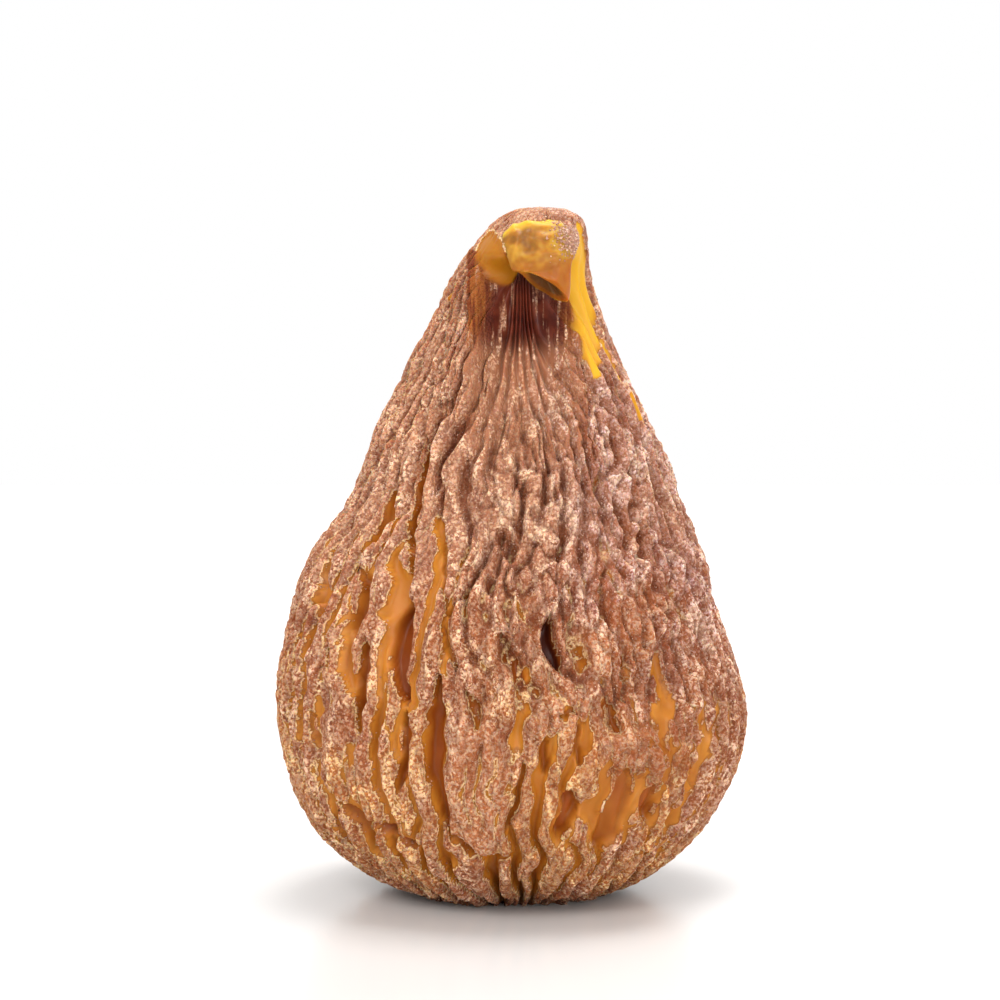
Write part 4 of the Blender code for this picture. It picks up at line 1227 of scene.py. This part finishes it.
def grain_mesh(name, count, radii, grid, weight):
    """Crystals on a surface. A cell of its grid is drawn by its area times how thick the sugar is there,
    a crystal is put at a random place in it, and its six corners are turned and stretched."""
    rows, columns = grid.shape[:2]
    normals = outward(grid.reshape(-1, 3), columns).reshape(grid.shape)
    up_way = np.linalg.norm(np.gradient(grid, axis=0), axis=2)
    round_way = np.linalg.norm(np.roll(grid, -1, axis=1) - grid, axis=2)
    chance = (weight.reshape(rows, columns) * up_way * round_way)[:-1].ravel()
    cell = random.choice(len(chance), size=count, p=chance / chance.sum())
    row, column = np.divmod(cell, columns)
    beside = (column + 1) % columns
    u, v = random.random((2, count, 1))
    low = grid[row, column] * (1 - u) + grid[row, beside] * u
    high = grid[row + 1, column] * (1 - u) + grid[row + 1, beside] * u
    radius = radii[0] + (radii[1] - radii[0]) * random.random((count, 1)) ** 2
    centre = low * (1 - v) + high * v - normals[row, column] * radius * GRAIN_SUNK
    stretch = radius[:, None] * random.uniform(*GRAIN_UNEVEN, (count, len(crystal_points), 1))
    corners = np.einsum("nij,kj->nki", random_turns(count), crystal_points) * stretch
    points = (centre[:, None] + corners).reshape(-1, 3)
    faces = crystal_faces + len(crystal_points) * np.arange(count)[:, None, None]
    mesh = bpy.data.meshes.new(name)
    mesh.from_pydata((points * MM).tolist(), [], faces.reshape(-1, 3).tolist())
    tint = mesh.attributes.new("tint", "FLOAT", "POINT")
    shades = np.repeat(random.random(count), len(crystal_points))
    tint.data.foreach_set("value", shades.astype(np.float32))
    return mesh


# %% The grains' material, and the grains
# Where the grains lie: on well covered skin, out of the hollow, and most on the crests
GRAIN_COVER = [0.5, 0.9]
GRAIN_HOLLOW = [0.3, 0.05]
GRAIN_OFF_CREST = 0.4
SUGAR_STOPS = [(0.0, "#8a5a45"), (0.7, "#a9785f"), (1.0, "#cfa78e")]


def sugar_material():
    """Crystallised fig sugar: small clear grains that scatter light, stained by the syrup under them."""
    made, tree, shader = new_material("crystallised_fig_sugar")
    tint = add(tree, "Attribute", settings={"attribute_name": "tint"}, output="Fac")
    colour = add(tree, "ValToRGB", [tint], {"stops": SUGAR_STOPS})
    tree.links.new(colour, shader.inputs["Base Color"])
    shader.inputs["Roughness"].default_value = 0.35
    shader.inputs["IOR"].default_value = 1.54
    shader.inputs["Subsurface Weight"].default_value = 0.3
    shader.inputs["Subsurface Radius"].default_value = (1.0, 0.6, 0.4)
    shader.inputs["Subsurface Scale"].default_value = 0.2 * MM
    return made


sugar = sugar_material()
on_skin = smooth_step(*GRAIN_COVER, skin_known["crust"]) * smooth_step(*GRAIN_HOLLOW, skin_known["recess"])
on_skin = on_skin * (GRAIN_OFF_CREST + skin_known["crest"])
for number in range(GRAIN_PIECES):
    title = f"sugar_grains_{number + 1}"
    crystals = grain_mesh(title, GRAINS_A_PIECE, GRAIN_RADII, skin_rings, on_skin)
    grains_piece = new_piece(title, crystals, sugar)
    print(title, "has", len(grains_piece.data.polygons), "faces")

# %% The clump on the stalk
# A clump of larger grains has dried on the right corner of the stalk's fold
CLUMP_GRAINS = 1300
CLUMP_RADII = [0.06, 0.17]
CLUMP_PLACE = [4.3, -4.6, 50.0]
CLUMP_SPREAD = 1.00

from_clump = np.linalg.norm(stalk_rings - CLUMP_PLACE, axis=2)
on_stalk = np.exp(-((from_clump / CLUMP_SPREAD) ** 2))
clump = new_piece(
    "sugar_clump", grain_mesh("sugar_clump", CLUMP_GRAINS, CLUMP_RADII, stalk_rings, on_stalk), sugar
)
print(clump.name, "has", len(clump.data.polygons), "faces")

# %% [markdown]
# ## The stage
# The photograph is a product shot on white. Four large soft lamps stand round the fig, at the upper left, low
# at the front right, overhead and behind, and everything else is white. The floor is a pale sheet with half
# its gloss, bright enough to vanish except where the fig shades it, with a faint soft reflection. The lamp
# behind matters to the thin rim of the neck, because it makes the rim glow, on top of the painted glow in its
# colour.

# %% The floor
FLOOR_HALF_SIZE = 260.0


def floor_material():
    """Cast acrylic sheet, white all through and rubbed to half its gloss: pale, with a soft reflection."""
    made, tree, shader = new_material("white_acrylic_sheet")
    shader.inputs["Base Color"].default_value = linear("#d2d0ce")
    shader.inputs["Roughness"].default_value = 0.22
    shader.inputs["IOR"].default_value = 1.49
    return made


floor_mesh = bpy.data.meshes.new("floor")
reach = FLOOR_HALF_SIZE * MM
floor_corners = [(-reach, -reach, 0), (reach, -reach, 0), (reach, reach, 0), (-reach, reach, 0)]
floor_mesh.from_pydata(floor_corners, [], [(0, 1, 2, 3)])
floor_mesh.materials.append(floor_material())
floor = bpy.data.objects.new("floor", floor_mesh)
bpy.context.scene.collection.objects.link(floor)
print("the floor is", 2 * FLOOR_HALF_SIZE, "mm square")


# %% The lights
# The point that the lamps face, and the side of each, in millimetres
MIDDLE = Vector((0.0, 0.0, 24.0))
SOFTBOX_SIZE = 420.0


def softbox(name, place_mm, watts):
    """A white square area light at place_mm that faces the middle of the fig."""
    data = bpy.data.lights.new(name, "AREA")
    data.size = SOFTBOX_SIZE * MM
    data.energy = watts
    lamp = bpy.data.objects.new(name, data)
    lamp.location = Vector(place_mm) * MM
    lamp.rotation_mode = "QUATERNION"
    lamp.rotation_quaternion = (Vector(place_mm) - MIDDLE).to_track_quat("Z", "Y")
    bpy.context.scene.collection.objects.link(lamp)


softbox("key", (-420.0, -560.0, 640.0), 4.0)
softbox("fill", (300.0, -740.0, 90.0), 3.9)
softbox("top", (60.0, 160.0, 900.0), 6.4)
softbox("back", (250.0, 600.0, 300.0), 2.0)
print("the lamps are", SOFTBOX_SIZE, "mm square")

world = bpy.data.worlds.new("white_studio")
world.use_nodes = True
world.node_tree.nodes["Background"].inputs["Color"].default_value = (1.0, 1.0, 1.0, 1.0)
world.node_tree.nodes["Background"].inputs["Strength"].default_value = 1.0
bpy.context.scene.world = world
bpy.context.scene.view_settings.view_transform = "Standard"

# %% The camera
# How much the picture takes in across at the fig, and the width of the sensor, in millimetres
FRAME_WIDTH = 76.0
SENSOR = 36.0

lens = bpy.data.cameras.new("camera")
lens.sensor_width = SENSOR
lens.lens = SENSOR * VIEW_DISTANCE / FRAME_WIDTH
lens.clip_start = 0.01
camera = bpy.data.objects.new("camera", lens)
toward = Vector((0.0, math.cos(VIEW_RISE), -math.sin(VIEW_RISE)))
camera.location = (Vector((VIEW_ACROSS, 0.0, VIEW_HEIGHT)) - toward * VIEW_DISTANCE) * MM
camera.rotation_mode = "QUATERNION"
camera.rotation_quaternion = toward.to_track_quat("-Z", "Y")
bpy.context.scene.collection.objects.link(camera)
bpy.context.scene.camera = camera
print("the lens is", round(lens.lens, 1), "mm")
